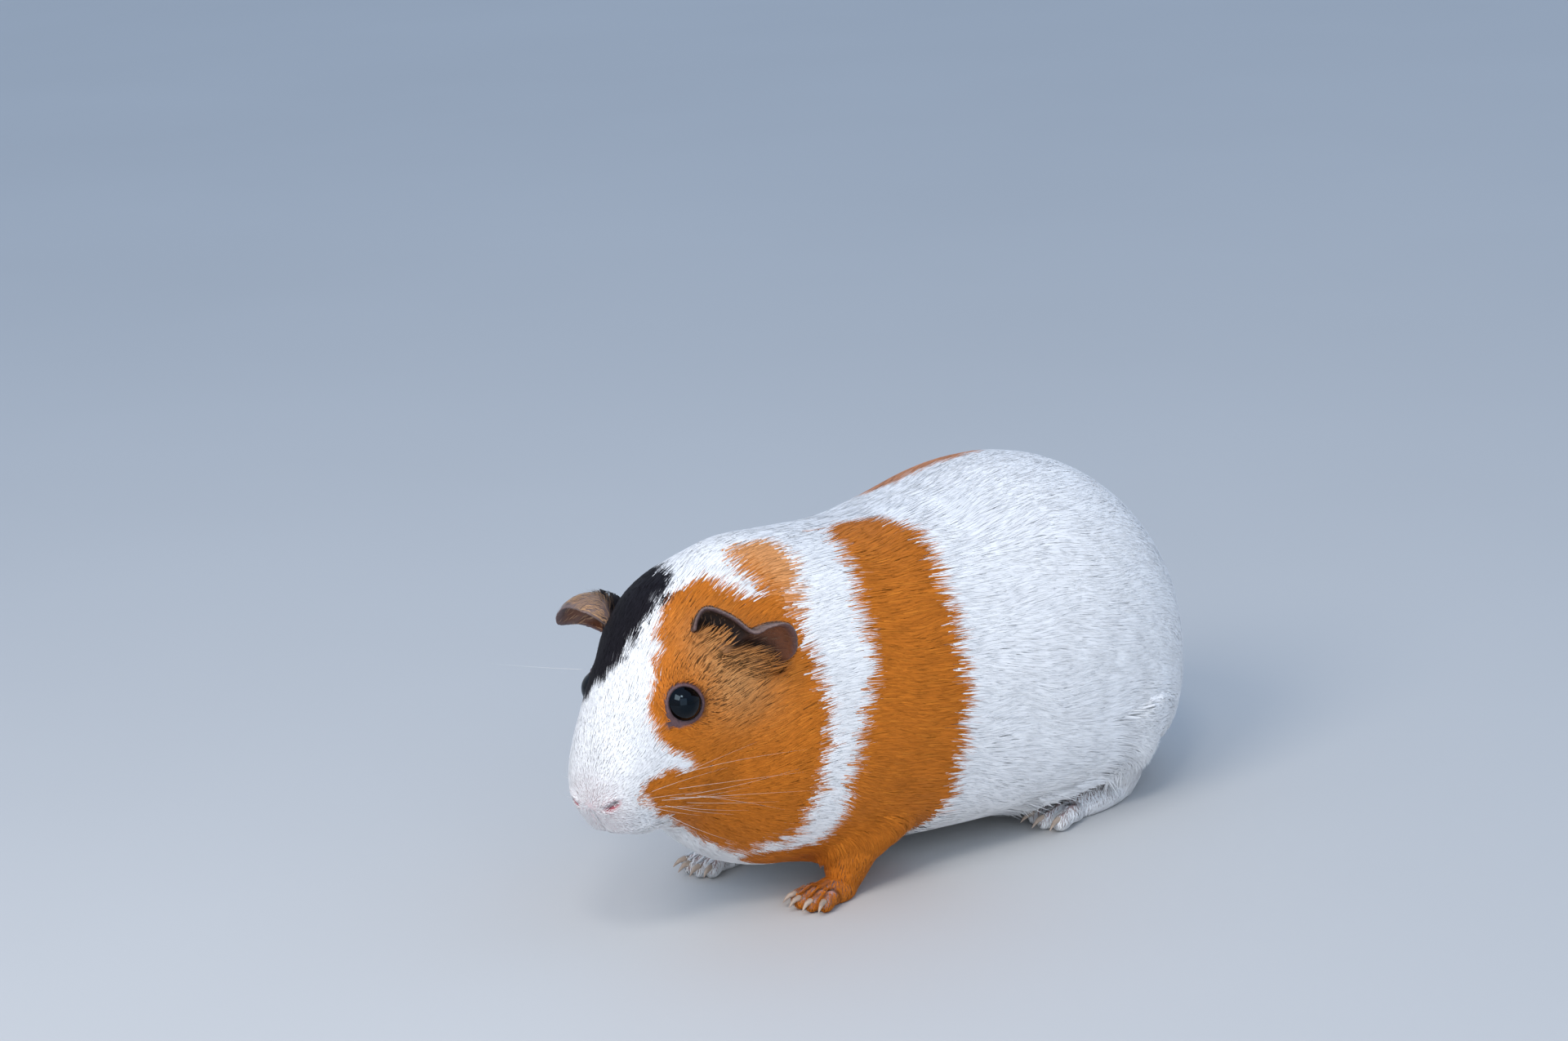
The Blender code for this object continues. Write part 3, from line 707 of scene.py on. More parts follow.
# Nose and mouth, in the head's frame, for the left side. Each shape is a path with its width, how far
# it moves the skin and the way it moves it.
NOSTRIL = ((28.3, 4.9, -12.1), (27.8, 6.1, -11.6), (27.1, 7.2, -11.0))
NOSE_WING = ((28.2, 4.2, -10.9), (27.8, 5.8, -10.2), (26.8, 7.6, -9.7))
NOSTRIL_FLOOR = ((28.4, 4.2, -13.3), (27.7, 6.6, -12.7))
CLEFT = ((29.3, 0.0, -13.4), (29.0, 0.0, -17.0), (28.0, 0.0, -20.0), (26.2, 0.0, -22.6))
UPPER_LIP = ((28.2, 2.4, -20.0), (26.6, 5.4, -20.8), (23.5, 8.4, -21.4))
MOUTH = ((25.6, 0.0, -23.2), (24.9, 3.0, -23.4), (23.0, 6.0, -24.0), (20.2, 8.6, -24.2))
CHIN = ((22.2, 0.0, -26.4), (20.0, 4.0, -26.8))
FACE_SHAPES = (
    (NOSTRIL, 0.5, 1.4, (-1, -0.5, 0.1)),
    (NOSE_WING, 0.8, 0.45, (1, 0.4, 0.4)),
    (NOSTRIL_FLOOR, 0.8, 0.30, (1, 0.4, -0.2)),
    (CLEFT, 0.55, 0.8, (-1, 0, 0)),
    (UPPER_LIP, 2.0, 0.7, (1, 0.3, -0.2)),
    (MOUTH, 0.75, 2.0, (-1, -0.3, 0.2)),
    (CHIN, 2.2, 0.9, (1, 0.1, -0.7)),
)


def mirrored(head):
    """Points of the head's frame with its right side laid over the left."""
    return head * (1, 0, 1) + np.abs(head) * (0, 1, 0)


def sculpt_face(skin):
    points = to_head(points_of(skin))
    shift = sum(groove(mirrored(points), *shape) for shape in FACE_SHAPES)
    shift[:, 1] *= np.where(points[:, 1] < 0, -1, 1)
    set_points(skin, from_head(points + shift))


# ---- Colours ----

LID_COLOUR, LID_EDGE = (0.120, 0.062, 0.068), (0.035, 0.016, 0.020)
# The hollow is near black: its dark skin with painted shade of the deep opening. The rear lobe is
# reddish-brown skin with painted light shining through it.
EAR_HOLLOW_SHADE, EAR_RIM_TINT = (0.010, 0.005, 0.004), (0.120, 0.074, 0.078)
EAR_LOBE_BACKLIT, EAR_BACK = (0.170, 0.055, 0.022), (0.20, 0.135, 0.12)
NOSE_PINK, NOSTRIL_RED, MOUTH_DARK = (0.80, 0.62, 0.64), (0.40, 0.070, 0.095), (0.10, 0.035, 0.035)
SOLE_PINK = (0.50, 0.31, 0.29)
ROOT_TONE, PINK_SHARE = 0.9, 0.08  # the markings on the skin are darker, with some of its own pink
NOSE_START, SOLE_TOP = (22, 28), (5, 14)  # forward in the head's frame, and heights over the floor
NOSTRIL_WIDTH, MOUTH_WIDTH = 1.0, 0.9


def near_path(points, path, width):
    return groove(points, path, width, 1.0, (1, 0, 0))[:, 0]


def ear_colour(ears):
    """An ear's bare skin: a hollow darkened with painted shade, a reddish-brown rear lobe with painted light
    shining through it, and a purple-grey rim and back.
    """
    _, hollow, t, v = ears.T
    # painted shade: the hollow side starts near black
    inner = np.tile(np.array(EAR_HOLLOW_SHADE), (len(t), 1))
    # painted light shining through the rear lobe, over its reddish-brown skin
    inner = mix(inner, smooth(0.42, 0.62, t) * smooth(0.3, 0.7, v), EAR_LOBE_BACKLIT)
    inner = mix(inner, smooth(0.80, 0.97, v) * 0.8, EAR_RIM_TINT)
    outer = np.tile(np.array(EAR_BACK), (len(t), 1))
    return mix(outer, hollow, inner)


def skin_colour(points, ears):
    """The skin's colour: the coat's markings, seen through, and bare skin at nose, lids, ears and soles."""
    head = to_head(points)
    colour = mix(marking(points) * ROOT_TONE, np.full(len(points), PINK_SHARE), PINK)
    colour = mix(colour, smooth(*NOSE_START, head[:, 0]) * 0.75, NOSE_PINK)
    colour = mix(colour, leg_share(points) * (1 - smooth(*SOLE_TOP, points[:, 2])) * 0.8, SOLE_PINK)
    for path, width, most, tint in (
        (NOSTRIL, NOSTRIL_WIDTH, 1.4, NOSTRIL_RED),
        (MOUTH, MOUTH_WIDTH, 1.2, MOUTH_DARK),
    ):
        colour = mix(colour, np.clip(near_path(mirrored(head), path, width) * most, 0, 1), tint)
    lid = np.where(points[:, :1] < 0, np.array(LID_COLOUR) * 0.5, LID_COLOUR)
    colour = mix(colour, 1 - smooth(0.1, 0.7, lid_away(points)), lid)
    colour = mix(colour, 1 - smooth(0.15, 0.40, eye_away(points)), LID_EDGE)
    return mix(colour, ears[:, 0], ear_colour(ears))


def write_colours(made, values, name="coat"):
    layer = made.data.color_attributes.new(name, "FLOAT_COLOR", "POINT")
    with_alpha = np.column_stack([values, np.ones(len(values))])
    layer.data.foreach_set("color", with_alpha.astype(np.float32).ravel())


# ---- Materials ----

WHISKER_WHITE, HORN, FLOOR_GREY = (0.82, 0.80, 0.78), (0.48, 0.37, 0.29), (0.58, 0.58, 0.575)
EYE_GLINT = (0.55, 0.78, 1.0)  # the blue of what the eyes mirror


def material(name, roughness, **values):
    """A new material with its Principled shader, whose constant sockets are set here."""
    made = bpy.data.materials.new(name)
    made.use_nodes = True
    shader = made.node_tree.nodes["Principled BSDF"]
    shader.inputs["Roughness"].default_value = roughness
    for socket, value in values.items():
        shader.inputs[socket.replace("_", " ")].default_value = value
    return made, made.node_tree, shader


def node(tree, kind, **inputs):
    made = tree.nodes.new(kind)
    for name, value in inputs.items():
        made.inputs[name.replace("_", " ")].default_value = value
    return made


def noise(tree, scale, detail=3.0, stretch=(1, 1, 1)):
    place = tree.nodes.new("ShaderNodeTexCoord")
    mapping = node(tree, "ShaderNodeMapping", Scale=stretch)
    made = node(tree, "ShaderNodeTexNoise", Scale=scale, Detail=detail)
    tree.links.new(place.outputs["Object"], mapping.inputs["Vector"])
    tree.links.new(mapping.outputs["Vector"], made.inputs["Vector"])
    return made


def shaded(tree, shader, colour_socket, scale, low, high, stretch=(1, 1, 1)):
    """Links a colour to the shader, darkened and lightened by noise."""
    pattern = noise(tree, scale, stretch=stretch)
    spread = node(tree, "ShaderNodeMapRange", From_Min=0.3, From_Max=0.7, To_Min=low, To_Max=high)
    tree.links.new(pattern.outputs["Fac"], spread.inputs["Value"])
    product = tree.nodes.new("ShaderNodeVectorMath")
    product.operation = "SCALE"
    tree.links.new(colour_socket, product.inputs[0])
    tree.links.new(spread.outputs["Result"], product.inputs["Scale"])
    tree.links.new(product.outputs["Vector"], shader.inputs["Base Color"])
    return pattern


def bumps(tree, shader, pattern, height, strength):
    bump = node(tree, "ShaderNodeBump", Distance=height * MM, Strength=strength)
    tree.links.new(pattern.outputs["Fac"], bump.inputs["Height"])
    tree.links.new(bump.outputs["Normal"], shader.inputs["Normal"])


def colour_layer(tree, name="coat"):
    made = tree.nodes.new("ShaderNodeAttribute")
    made.attribute_name = name
    return made.outputs["Color"]


def plain_material(name, roughness, colour, scale, low, high, stretch=(1, 1, 1), bump=0.0):
    """A material of one colour under noise, which may also raise it by some millimetres."""
    made, tree, shader = material(name, roughness)
    source = tree.nodes.new("ShaderNodeRGB")
    source.outputs[0].default_value = (*colour, 1)
    pattern = shaded(tree, shader, source.outputs[0], scale, low, high, stretch)
    if bump:
        bumps(tree, shader, pattern, bump, 0.4)
    return made


def skin_material():
    made, tree, shader = material("skin", 0.5, Specular_IOR_Level=0.4)
    shaded(tree, shader, colour_layer(tree), 900, 0.85, 1.12)
    bumps(tree, shader, noise(tree, 2600, 4.0), 0.25, 0.5)
    return made


def coat_material():
    made, tree, shader = material("coat", 0.55, Specular_IOR_Level=0.12)
    shader.inputs["Sheen Weight"].default_value = 0.03
    shader.inputs["Sheen Roughness"].default_value = 0.5
    shaded(tree, shader, colour_layer(tree), 160, 0.95, 1.05)
    return made


def eye_material():
    made, tree, shader = material("eye", 0.03, Specular_IOR_Level=0.26)
    shader.inputs["Specular Tint"].default_value = (*EYE_GLINT, 1)
    shaded(tree, shader, colour_layer(tree, "iris"), 900, 0.8, 1.2)
    return made


# ---- Eyes ----

PUPIL, IRIS = 20.0, 44.0  # half angles in degrees
CORNEA, CORNEA_BULGE = (10, 48), 0.22  # the half angles it slopes down between, and how far it stands out
EYE_GAP = 0.02  # between the eye and the skin's socket
IRIS_BROWN, PUPIL_BLACK = (0.002, 0.0012, 0.0009), (0.0008, 0.0008, 0.0011)


def build_eye(name):
    gaze, ahead, up = eye_frame(name)
    points, faces = ball((0, 0, 0), 1.0, segments=72, rings=48)
    lean = np.degrees(np.arccos(np.clip(points[:, 2], -1, 1)))
    radius = EYE_RADIUS + CORNEA_BULGE * (1 - smooth(*CORNEA, lean)) - EYE_GAP
    placed = points @ np.array((ahead, up, gaze)) * radius[:, None] + EYES[name]
    made = joined(f"eye_ball_{name}", [(placed, faces)])
    made.data.shade_smooth()
    turn = np.arctan2(points[:, 1], points[:, 0])
    streaks = 1 + 0.25 * np.sin(turn * 31) * np.sin(turn * 17 + 1)
    iris = smooth(PUPIL - 1, PUPIL + 2, lean) * (1 - smooth(IRIS, IRIS + 5, lean)) * streaks
    write_colours(made, np.outer(iris, IRIS_BROWN) + PUPIL_BLACK, "iris")
    made.data.materials.append(eye_material())
    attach(made, "root")
    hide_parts(f"eye_{name}")


# ---- The coat ----

COAT_PIECES, ORANGE_PIECES = 8, 3  # how many pieces the coat is split into; the first ones are at the head
TUFTS = 240000
FLOOR_GAP = 0.15
NOSE_TIP = (31.0, 0.0, -11.0)  # the face's hair points away from it
FACE_HAIR = (-42, -12)  # from where the hair lies as on the body to where it lies as on the face
SIDE_FALL, SIDEWAYS = 0.22, (0.15, 0.8)  # how far it turns down on the body's sides
REAR_FALL, REAR = 1.1, (55, 100)  # and over the rump
LEG_WAY = (0.0, -0.25, -1.0)
EYE_PUSH, EYE_PUSH_REACH = 1.4, 3.4  # how strongly it turns away from an eye, and how far out
EAR_MIDDLE = (-15.0, 17.0, 4.0)  # the left ear's hair points away from it
SWAY = ((0.15, 22.0, 21), (0.06, 5.0, 22))  # how far it turns sideways, over which length, and a seed


def lie(points, ears, normals):
    """Unit directions in which the hair lies, along the skin."""
    face = smooth(*FACE_HAIR, to_head(points)[:, 0])[:, None]
    from_nose = unit(points - from_head((NOSE_TIP,))[0])
    back = np.tile(np.array((0.0, 1.0, 0.0)), (len(points), 1))
    side = smooth(*SIDEWAYS, np.abs(normals[:, 0]))
    back[:, 2] -= SIDE_FALL * side + REAR_FALL * smooth(*REAR, points[:, 1])
    way = from_nose * face + back * (1 - face)
    legs = leg_share(points)[:, None]
    way = way * (1 - legs) + np.array(LEG_WAY) * legs
    for name, centre in EYES.items():
        off = points - centre
        away = np.linalg.norm(off, axis=1) - EYE_RADIUS
        push = np.exp(-(np.maximum(away, 0) / EYE_PUSH_REACH) ** 2)[:, None]
        way = way + EYE_PUSH * push * unit(off)
        out = unit(points - from_head((np.array(EAR_MIDDLE) * (1, SIDES[name], 1),))[0])
        own = ((points[:, 0] * SIDES[name] > 0) * ears[:, 0])[:, None]
        way = way * (1 - own) + out * own
    sway = sum(far * waves(points, size, seed) for far, size, seed in SWAY)
    way = flattened(way, normals)
    return unit(way + np.cross(normals, way) * sway[:, None])


LID_BARE, RIM_BARE, SOLE_BARE = (-0.1, 0.3), (0.8, 0.92), (0.5, 1.6)  # where tufts begin or end there
EAR_BARE, HOLLOW_BARE = 0.45, 0.5  # by how much fewer there are on an ear, and more so in its hollow
LIP_BARE, BARE_PATHS = 1.6, ((NOSTRIL, 0.8), (MOUTH, 1.0))  # how clear these are kept, and how widely


def coat_density(points, ears):
    """How close together tufts grow: few or none on lids, nostrils, lips, soles and inside the ears."""
    head = to_head(points)
    density = profile(COAT_DENSITY, head[:, 0])
    legs = leg_share(points)
    density = density * (1 - legs) + LEG_DENSITY * legs
    density *= smooth(*LID_BARE, lid_away(points))
    on_ear, hollow, _, out = ears.T
    fewer = np.maximum(EAR_BARE + HOLLOW_BARE * hollow, smooth(*RIM_BARE, out))
    density = density * (1 - on_ear * fewer)
    for path, width in BARE_PATHS:
        density *= 1 - np.clip(near_path(mirrored(head), path, width) * LIP_BARE, 0, 1)
    return density * smooth(*SOLE_BARE, points[:, 2])


def pick_roots(skin, ears, count):
    """Places all over the skin, closest on the face, with their normals, ear shares and map places."""
    points, normals, corners = points_of(skin), normals_of(skin), triangles_of(skin)
    a, b, c = points[corners].transpose(1, 0, 2)
    areas = np.linalg.norm(np.cross(b - a, c - a), axis=1) / 2
    weight = np.cumsum(areas * coat_density((a + b + c) / 3, ears[corners].mean(axis=1)))
    places = (np.arange(count) + random.random(count)) / count * weight[-1]
    which = np.minimum(np.searchsorted(weight, places), len(weight) - 1)
    u, v = random.random((2, count))
    over = u + v > 1
    u[over], v[over] = 1 - u[over], 1 - v[over]
    share = np.column_stack([1 - u - v, u, v])

    def between(values):
        return np.einsum("ij,ij...->i...", share, values[corners[which]])

    layer = read(skin.data.uv_layers["OFBake"].data, "uv", width=2)
    loops = read(skin.data.loop_triangles, "loops", kind=np.int32)
    maps = np.einsum("ij,ijk->ik", share, layer[loops[which]])
    return between(points), unit(between(normals)), between(ears), maps


def settle(points, tree):
    """The nearest place on the skin to each point, and the skin's normal there."""
    places, normals = np.empty_like(points), np.empty_like(points)
    for i, point in enumerate(points):
        places[i], normals[i], *_ = tree.find_nearest(point)
    return places, normals


EAR_OPENING_SHADE = ((-15.0, 20.0, 5.5), (-18.0, 22.5, 2.5), (-20.0, 24.5, -1.5))  # painted shade: tufts darkened round an ear's opening
EAR_OPENING_SHADE_WIDTH = 3.4
RAGGED = 0.5  # about how far off a tuft looks for its colour, which makes the outlines ragged
# The first share gives dark hairs in the ticking. The second darkens tufts round an ear's opening as painted
# shade. Both use the tone.
DARK_SHARE, EAR_SHADE_SHARE, DARK_TONE = 0.14, 0.6, 0.3
PALE_SHARE, PALE_TONE = 0.16, (1.12, 1.2, 1.3)
NOSE_HAIR, NOSE_HAIR_SHARE, NOSE_HAIR_START = (0.84, 0.75, 0.76), 0.35, (23, 29)
EAR_TAN = {"left": (0.26, 0.15, 0.09), "right": (0.60, 0.35, 0.19)}
EAR_BLACK, EAR_BLACK_SHARE = (0.03, 0.02, 0.017), {"left": 0.3, "right": 0.16}


def tuft_colours(places, roots, ears):
    """One colour for each tuft, from the markings where it is widest."""
    count = len(places)
    colour = marking(places + random.normal(0, RAGGED, places.shape), edge=0.6)
    forward, angle = round_head(places)
    is_orange = smooth(0.06, 0.3, colour[:, 0] - colour[:, 2])
    dark_share = DARK_SHARE * ticking(forward, angle) * is_orange
    # painted shade: tufts round each ear's opening are darkened like dark hairs
    dark_share = dark_share + EAR_SHADE_SHARE * near_path(mirrored(to_head(places)), EAR_OPENING_SHADE, EAR_OPENING_SHADE_WIDTH)
    dark = random.random(count) < dark_share
    colour[dark] = colour[dark] * DARK_TONE
    pale = random.random(count) < PALE_SHARE * is_orange
    colour[pale] = colour[pale] * PALE_TONE
    colour = mix(colour, smooth(*NOSE_HAIR_START, forward) * NOSE_HAIR_SHARE, NOSE_HAIR)
    right = places[:, 0] < 0
    tan = np.where(right[:, None], EAR_TAN["right"], EAR_TAN["left"])
    black = random.random(count) < np.where(right, EAR_BLACK_SHARE["right"], EAR_BLACK_SHARE["left"])
    tan[black] = EAR_BLACK
    colour = colour * (1 - ears[:, :1]) + ears[:, :1] * tan
    tinted = 0.25 + 0.75 * smooth(0.05, 0.5, colour.max(axis=1) - colour.min(axis=1))
    level = 1 + tinted * (0.07 * random.normal(size=count) + 0.035 * waves(roots, 3.0, 31))
    return np.clip(colour * np.clip(level, 0.7, 1.25)[:, None], 0, BRIGHTEST)


EYE_SHORTER, EYE_SHORT_REACH = 0.6, 6.5  # by how much tufts are shorter round the eyes, and how far out
EAR_LENGTH, EAR_NARROWER, EAR_FLATTER = 3.6, 0.6, 0.8  # of the tufts on the ears
BEND = 0.42  # the share of its length at which a tuft is widest
ROOT_DEPTH = 0.35  # of its start, under the skin
BRIGHTEST = 0.95
TUFT_SHADE_TONES = (0.9, 0.98, 1.0, 0.98, 1.01)  # of its five points, from the root to the tip: painted shade, darker towards the root deep in the coat and a little at its edges
NORMAL_KEPT, WAY_KEPT = 0.6, 0.7  # how far it keeps its last normal and its way as it goes on
TWIST, STRAY = 0.05, 0.028  # how far it is turned, of its width, and its tip strays, of its length
CREST_HEIGHT = (0.82, 0.94)  # shares of the coat's depth at which it is widest
EDGE_SINK, CREST_RISE, ROUNDING = 0.06, 0.11, 0.2  # its edges, its middle line, its edges' shading
COLOUR_PLACE = 0.4  # share of the way from its widest part to its tip, where it takes its colour
REACH_ON_EAR = (0.05, 1.3)  # tufts of the head that reach farther onto an ear than this are left out
LID_GAP, EAR_TURN = 0.1, 0.3  # and those that reach the lids or go over an ear's edge
# Its six faces, and its patch on the map: the same five points round the root's place.
TUFT_FACES = ((0, 1, 2), (0, 2, 3), (0, 3, 1), (4, 2, 1), (4, 3, 2), (4, 1, 3))
TUFT_PATCH = ((0, -0.0015), (-0.0015, -0.0003), (0, 0), (0.0015, -0.0003), (0, 0.0015))


def tuft_sizes(roots, ears):
    """How long, wide and deep each tuft is."""
    count = len(roots)
    forward = to_head(roots)[:, 0]
    legs, on_ear = leg_share(roots), ears[:, 0]
    length = profile(COAT_LENGTH, forward) * random.uniform(0.75, 1.2, count)
    length *= 1 - EYE_SHORTER * eye_share(roots, EYE_SHORT_REACH)
    length = length * (1 - legs) + LEG_LENGTH * random.uniform(0.75, 1.2, count) * legs
    length = length * (1 - on_ear) + EAR_LENGTH * on_ear * random.uniform(0.6, 1.1, count)
    width = profile(COAT_WIDTH, forward) * random.uniform(0.75, 1.25, count)
    width = width * (1 - legs) + LEG_WIDTH * legs
    width *= 1 - EAR_NARROWER * on_ear
    return length, width, coat_depth(roots) * (1 - EAR_FLATTER * on_ear)


def build_coat(skin, ears, count):
    """Tufts, each a closed five-point leaf that rises from the skin and lies back along it."""
    tree = BVHTree.FromPolygons(
        [tuple(p) for p in points_of(skin)], [tuple(t) for t in triangles_of(skin).tolist()]
    )
    roots, normals, leaf, maps = pick_roots(skin, ears, count)
    ways = lie(roots, leaf, normals)
    length, width, depth = tuft_sizes(roots, leaf)
    bend, normal_1 = settle(roots + ways * (BEND * length)[:, None], tree)
    normal_1 = unit(normal_1 + NORMAL_KEPT * normals)
    way_1 = flattened(unit(lie(bend, leaf, normal_1) + WAY_KEPT * ways), normal_1)
    tip, normal_2 = settle(bend + way_1 * ((1 - BEND) * length)[:, None], tree)
    normal_2 = unit(normal_2 + NORMAL_KEPT * normal_1)
    lift = 1 - profile(COAT_RELIEF, to_head(roots)[:, 0]) * random.random(count) ** 2
    across = np.cross(normal_1, way_1) * (width / 2)[:, None]
    across += normal_1 * (random.normal(0, TWIST, count) * width)[:, None]
    crest = bend + normal_1 * (depth * lift * random.uniform(*CREST_HEIGHT, count))[:, None]
    end = tip + normal_2 * (depth * lift)[:, None]
    end += np.cross(normal_2, way_1) * (random.normal(0, STRAY, count) * length)[:, None]
    on_ear = leaf[:, 0]
    over_ear = ear_places(tip, normal_2)[:, 0] * (1 - on_ear)
    kept = (over_ear < random.uniform(*REACH_ON_EAR, count)) & (lid_away(tip) > LID_GAP)
    kept &= ((normal_2 * normals).sum(axis=1) > EAR_TURN) | (on_ear <= EAR_TURN)
    colour = tuft_colours(bend + COLOUR_PLACE * (tip - bend) + normal_1 * depth[:, None], roots, leaf)
    corners = np.stack(
        [
            roots - normals * ROOT_DEPTH,
            crest - across - normal_1 * (EDGE_SINK * width)[:, None],
            crest + normal_1 * (CREST_RISE * width)[:, None],
            crest + across - normal_1 * (EDGE_SINK * width)[:, None],
            end,
        ],
        axis=1,
    )
    corners[:, :, 2] = np.maximum(corners[:, :, 2], FLOOR_GAP)
    side = ROUNDING * unit(across)
    facing = np.stack([normals, unit(normal_1 - side), normal_1, unit(normal_1 + side), normal_2], axis=1)
    # painted shade: each tuft's colour darkened towards its root
    shaded_tints = np.clip(colour[:, None, :] * np.array(TUFT_SHADE_TONES)[None, :, None], 0, BRIGHTEST)
    laid = np.clip(maps[:, None, :] + np.array(TUFT_PATCH)[None], 0, 1)
    order = np.flatnonzero(kept)
    order = order[np.argsort(roots[order, 1])]
    coat = coat_material()
    for k, part in enumerate(np.array_split(order, COAT_PIECES)):
        index = ((np.arange(len(part)) * 5)[:, None, None] + np.array(TUFT_FACES)[None]).reshape(-1, 3)
        made = add_mesh(f"coat_{k + 1}", corners[part].reshape(-1, 3), index)
        write_colours(made, shaded_tints[part].reshape(-1, 3))
        flat = laid[part].reshape(-1, 2)[index.reshape(-1)]
        uv = made.data.uv_layers.new(name="OFBake")
        uv.data.foreach_set("uv", flat.astype(np.float32).ravel())
        made.data.shade_smooth()
        made.data.normals_split_custom_set_from_vertices(facing[part].reshape(-1, 3).astype(np.float32))
        made.data.materials.append(coat)
        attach(made, "root")


# ---- Whiskers ----

# The upper lip's rows, each with the place of its first hair in the head's frame, for the left side.
WHISKER_ROWS = ((22.5, 9.5, -13.0), (21.5, 10.8, -15.5), (20.0, 11.6, -18.0), (18.0, 11.4, -20.5))
WHISKERS_IN_ROW = 4
WHISKER_STEP = (-1.8, 0.35)  # from a row's one hair to the next: forward and out
# Their ways as (value, change with each hair or row), their lengths, and how far all of it varies.
WHISKER_AHEAD, WHISKER_RISE, WHISKER_LENGTH = (-0.15, -0.28), (0.10, -0.20), (14, 4.0)
ROOT_VARIES, WAY_VARIES, DROOP_VARIES, LENGTH_VARIES = 0.5, 0.16, 0.09, (-4, 6)
WHISKER_GAP = 0.4  # over the floor
WHISKER_DROOP = np.array((-0.35, -0.05, -0.24))
WHISKER_RADIUS, BROW_RADIUS = 0.042, 0.045
# The long hairs over the eyes as (root, way, length).
BROWS = {"left": (), "right": (((3.5, 12.6, 9.4), (0.42, 1.0, 0.25), 26.0),)}
BROW_DROOP = (-0.1, 0.0, -0.06)


def whisker(root, way, droop, length, radius):
    """The line of one hair and its radii, down to a tenth at the tip."""
    steps = np.linspace(0, 1, 9)[:, None]
    line = np.array(root) + unit(np.array(way)) * length * steps + np.array(droop) * length * steps**2
    return line, radius * (1 - 0.9 * steps[:, 0])


def build_whiskers():
    shapes = []
    draw = np.random.default_rng(5)
    for name, side in SIDES.items():
        grown = []
        for row, (forward, left, up) in enumerate(WHISKER_ROWS):
            for k in range(WHISKERS_IN_ROW):
                back, out = WHISKER_STEP
                root = (forward + back * k, left + out * k, up + draw.normal(0, ROOT_VARIES))
                ahead = WHISKER_AHEAD[0] + WHISKER_AHEAD[1] * k + draw.normal(0, WAY_VARIES)
                rise = WHISKER_RISE[0] + WHISKER_RISE[1] * row + draw.normal(0, WAY_VARIES)
                droop = WHISKER_DROOP + draw.normal(0, DROOP_VARIES, 3)
                length = WHISKER_LENGTH[0] + WHISKER_LENGTH[1] * k + draw.uniform(*LENGTH_VARIES)
                way = (ahead, 1.0, rise)
                grown.append(whisker(root, way, droop, length, WHISKER_RADIUS))
        for root, way, length in BROWS[name]:
            grown.append(whisker(root, way, BROW_DROOP, length, BROW_RADIUS))
        for line, radii in grown:
            line = from_head(line * (1, side, 1))
            line[:, 2] = np.maximum(line[:, 2], WHISKER_GAP)
            shapes.append(tube(line, radii, sides=4))
    made = joined("whiskers", shapes)
    made.data.shade_smooth()
    made.data.materials.append(plain_material("whisker", 0.35, WHISKER_WHITE, 300, 0.9, 1.05))
    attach(made, "root")


# ---- Making it ----


def unwrap(made):
    bpy.context.view_layer.objects.active = made
    made.select_set(True)
    made.data.uv_layers.new(name="OFBake")
    bpy.ops.object.mode_set(mode="EDIT")
    bpy.ops.mesh.select_all(action="SELECT")
    bpy.ops.uv.smart_project(angle_limit=radians(66), island_margin=0.003)
    bpy.ops.object.mode_set(mode="OBJECT")


def thin_out(made, count):
    step = made.modifiers.new("thin", "DECIMATE")
    step.ratio = count / len(triangles_of(made))
    apply_modifiers(made)


skin, claws = build_skin()
refine(skin, lambda middles: to_head(middles)[:, 0] > FINE_FACE)
sculpt_face(skin)
thin_out(skin, SKIN_TRIANGLES)
points = points_of(skin)
points[:, 2] = np.maximum(points[:, 2], 0)  # the soles lie flat on the floor
set_points(skin, points)
skin.data.shade_smooth()
unwrap(skin)
ears = ear_places(points, normals_of(skin))
write_colours(skin, skin_colour(points, ears))
skin.data.materials.append(skin_material())
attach(skin, "root")
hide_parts(*FLESH)

horn = plain_material("horn", 0.38, HORN, 700, 0.7, 1.15, stretch=(1, 0.2, 1), bump=0.1)
for name, shapes in claws.items():
    made = joined(f"claws_{name}", shapes)
    made.data.shade_smooth()
    made.data.materials.append(horn)
    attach(made, "root")

for name in SIDES:
    build_eye(name)
build_whiskers()
build_coat(skin, ears, TUFTS)


# ---- Floor, light and camera ----

FLOOR_SIZE = 6.0  # metres
CAMERA_OFFSET = np.array((620.4, -548.7, 272.3))  # from midway between the eyes
CAMERA_TURN, CAMERA_DOWN, CAMERA_TILT = 45.0, 12.0, 5.0  # degrees
LENS, SENSOR = 80.1, 36.0
HORIZON, ZENITH, SKY_STRENGTH = (0.60, 0.63, 0.67), (0.50, 0.66, 0.92), 0.86
# Each lamp's name, place and width in metres, power in watts and colour.
LAMPS = (
    ("key", (0.12, -0.75, 0.70), 0.42, 4.3, (1.0, 0.93, 0.84)),
    ("catch", (0.42, -0.54, 0.97), 0.2, 2.0, (1.0, 0.95, 0.88)),
    ("fill", (1.15, -0.95, 0.6), 1.2, 5.8, (0.87, 0.93, 1.0)),
)


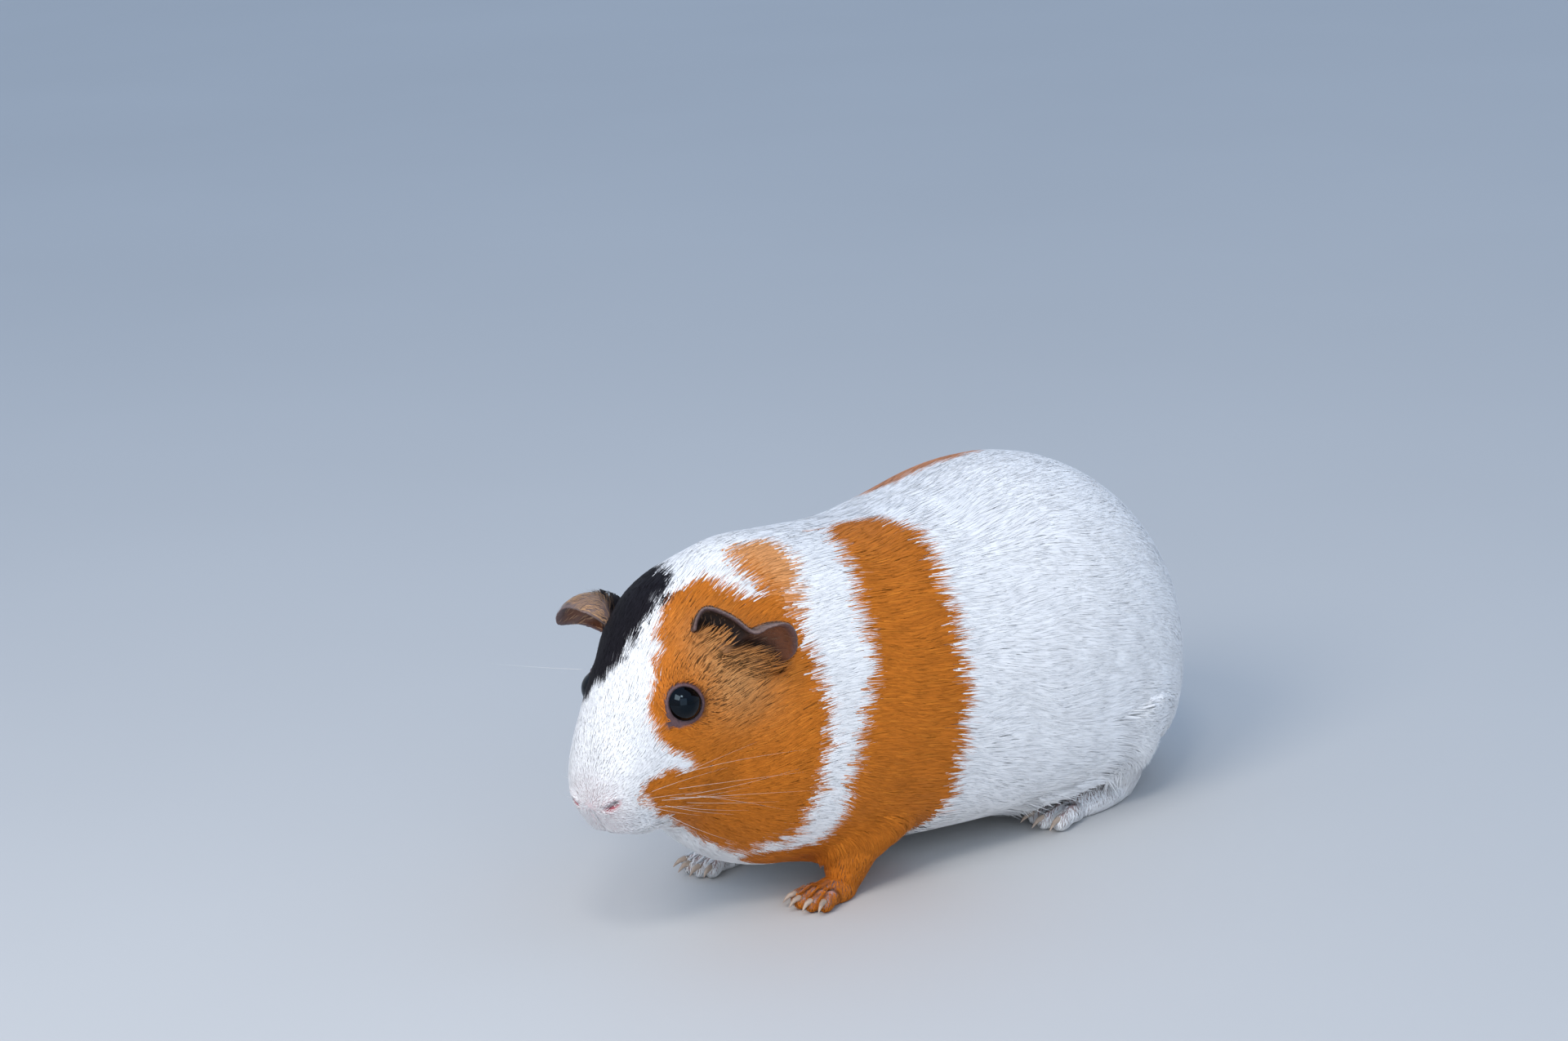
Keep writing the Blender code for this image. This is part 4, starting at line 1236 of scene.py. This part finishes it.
def build_floor():
    bpy.ops.mesh.primitive_plane_add(size=FLOOR_SIZE)
    floor = bpy.context.object
    floor.name = "floor"
    floor.data.materials.append(plain_material("floor", 0.8, FLOOR_GREY, 3, 0.98, 1.02))


def build_sky():
    world = bpy.data.worlds.new("studio")
    bpy.context.scene.world = world
    world.use_nodes = True
    tree = world.node_tree
    place = tree.nodes.new("ShaderNodeTexCoord")
    height = tree.nodes.new("ShaderNodeSeparateXYZ")
    sky = tree.nodes.new("ShaderNodeMix")
    sky.data_type = "RGBA"
    sky.inputs["A"].default_value = (*HORIZON, 1)
    sky.inputs["B"].default_value = (*ZENITH, 1)
    rise = node(tree, "ShaderNodeMapRange", From_Min=0.0, From_Max=0.6)
    tree.links.new(place.outputs["Generated"], height.inputs["Vector"])
    tree.links.new(height.outputs["Z"], rise.inputs["Value"])
    tree.links.new(rise.outputs["Result"], sky.inputs["Factor"])
    tree.links.new(sky.outputs["Result"], tree.nodes["Background"].inputs["Color"])
    tree.nodes["Background"].inputs["Strength"].default_value = SKY_STRENGTH


def build_lamps():
    """Square lamps that face the middle of the trunk."""
    aim = Vector(middle("trunk") * MM)
    for name, place, size, power, colour in LAMPS:
        light = bpy.data.lights.new(name, "AREA")
        light.size, light.energy, light.color = size, power, colour
        made = add_object(name, light)
        made.location = place
        made.rotation_mode = "QUATERNION"
        made.rotation_quaternion = (aim - made.location).to_track_quat("-Z", "Y")


def build_camera():
    """The camera is tilted with the body, which stands level here."""
    camera = bpy.data.cameras.new("camera")
    camera.lens, camera.sensor_width = LENS, SENSOR
    made = add_object("camera", camera)
    turned = (
        Matrix.Rotation(radians(-CAMERA_TILT), 4, "X")
        @ Matrix.Rotation(radians(CAMERA_TURN), 4, "Z")
        @ Matrix.Rotation(radians(90 - CAMERA_DOWN), 4, "X")
    )
    place = ((EYES["left"] + EYES["right"]) / 2 + CAMERA_OFFSET) * MM
    made.matrix_world = Matrix.Translation(Vector(place)) @ turned
    bpy.context.scene.camera = made


build_floor()
build_sky()
build_lamps()
build_camera()
bpy.context.scene.view_settings.view_transform = "Standard"
bpy.context.view_layer.update()
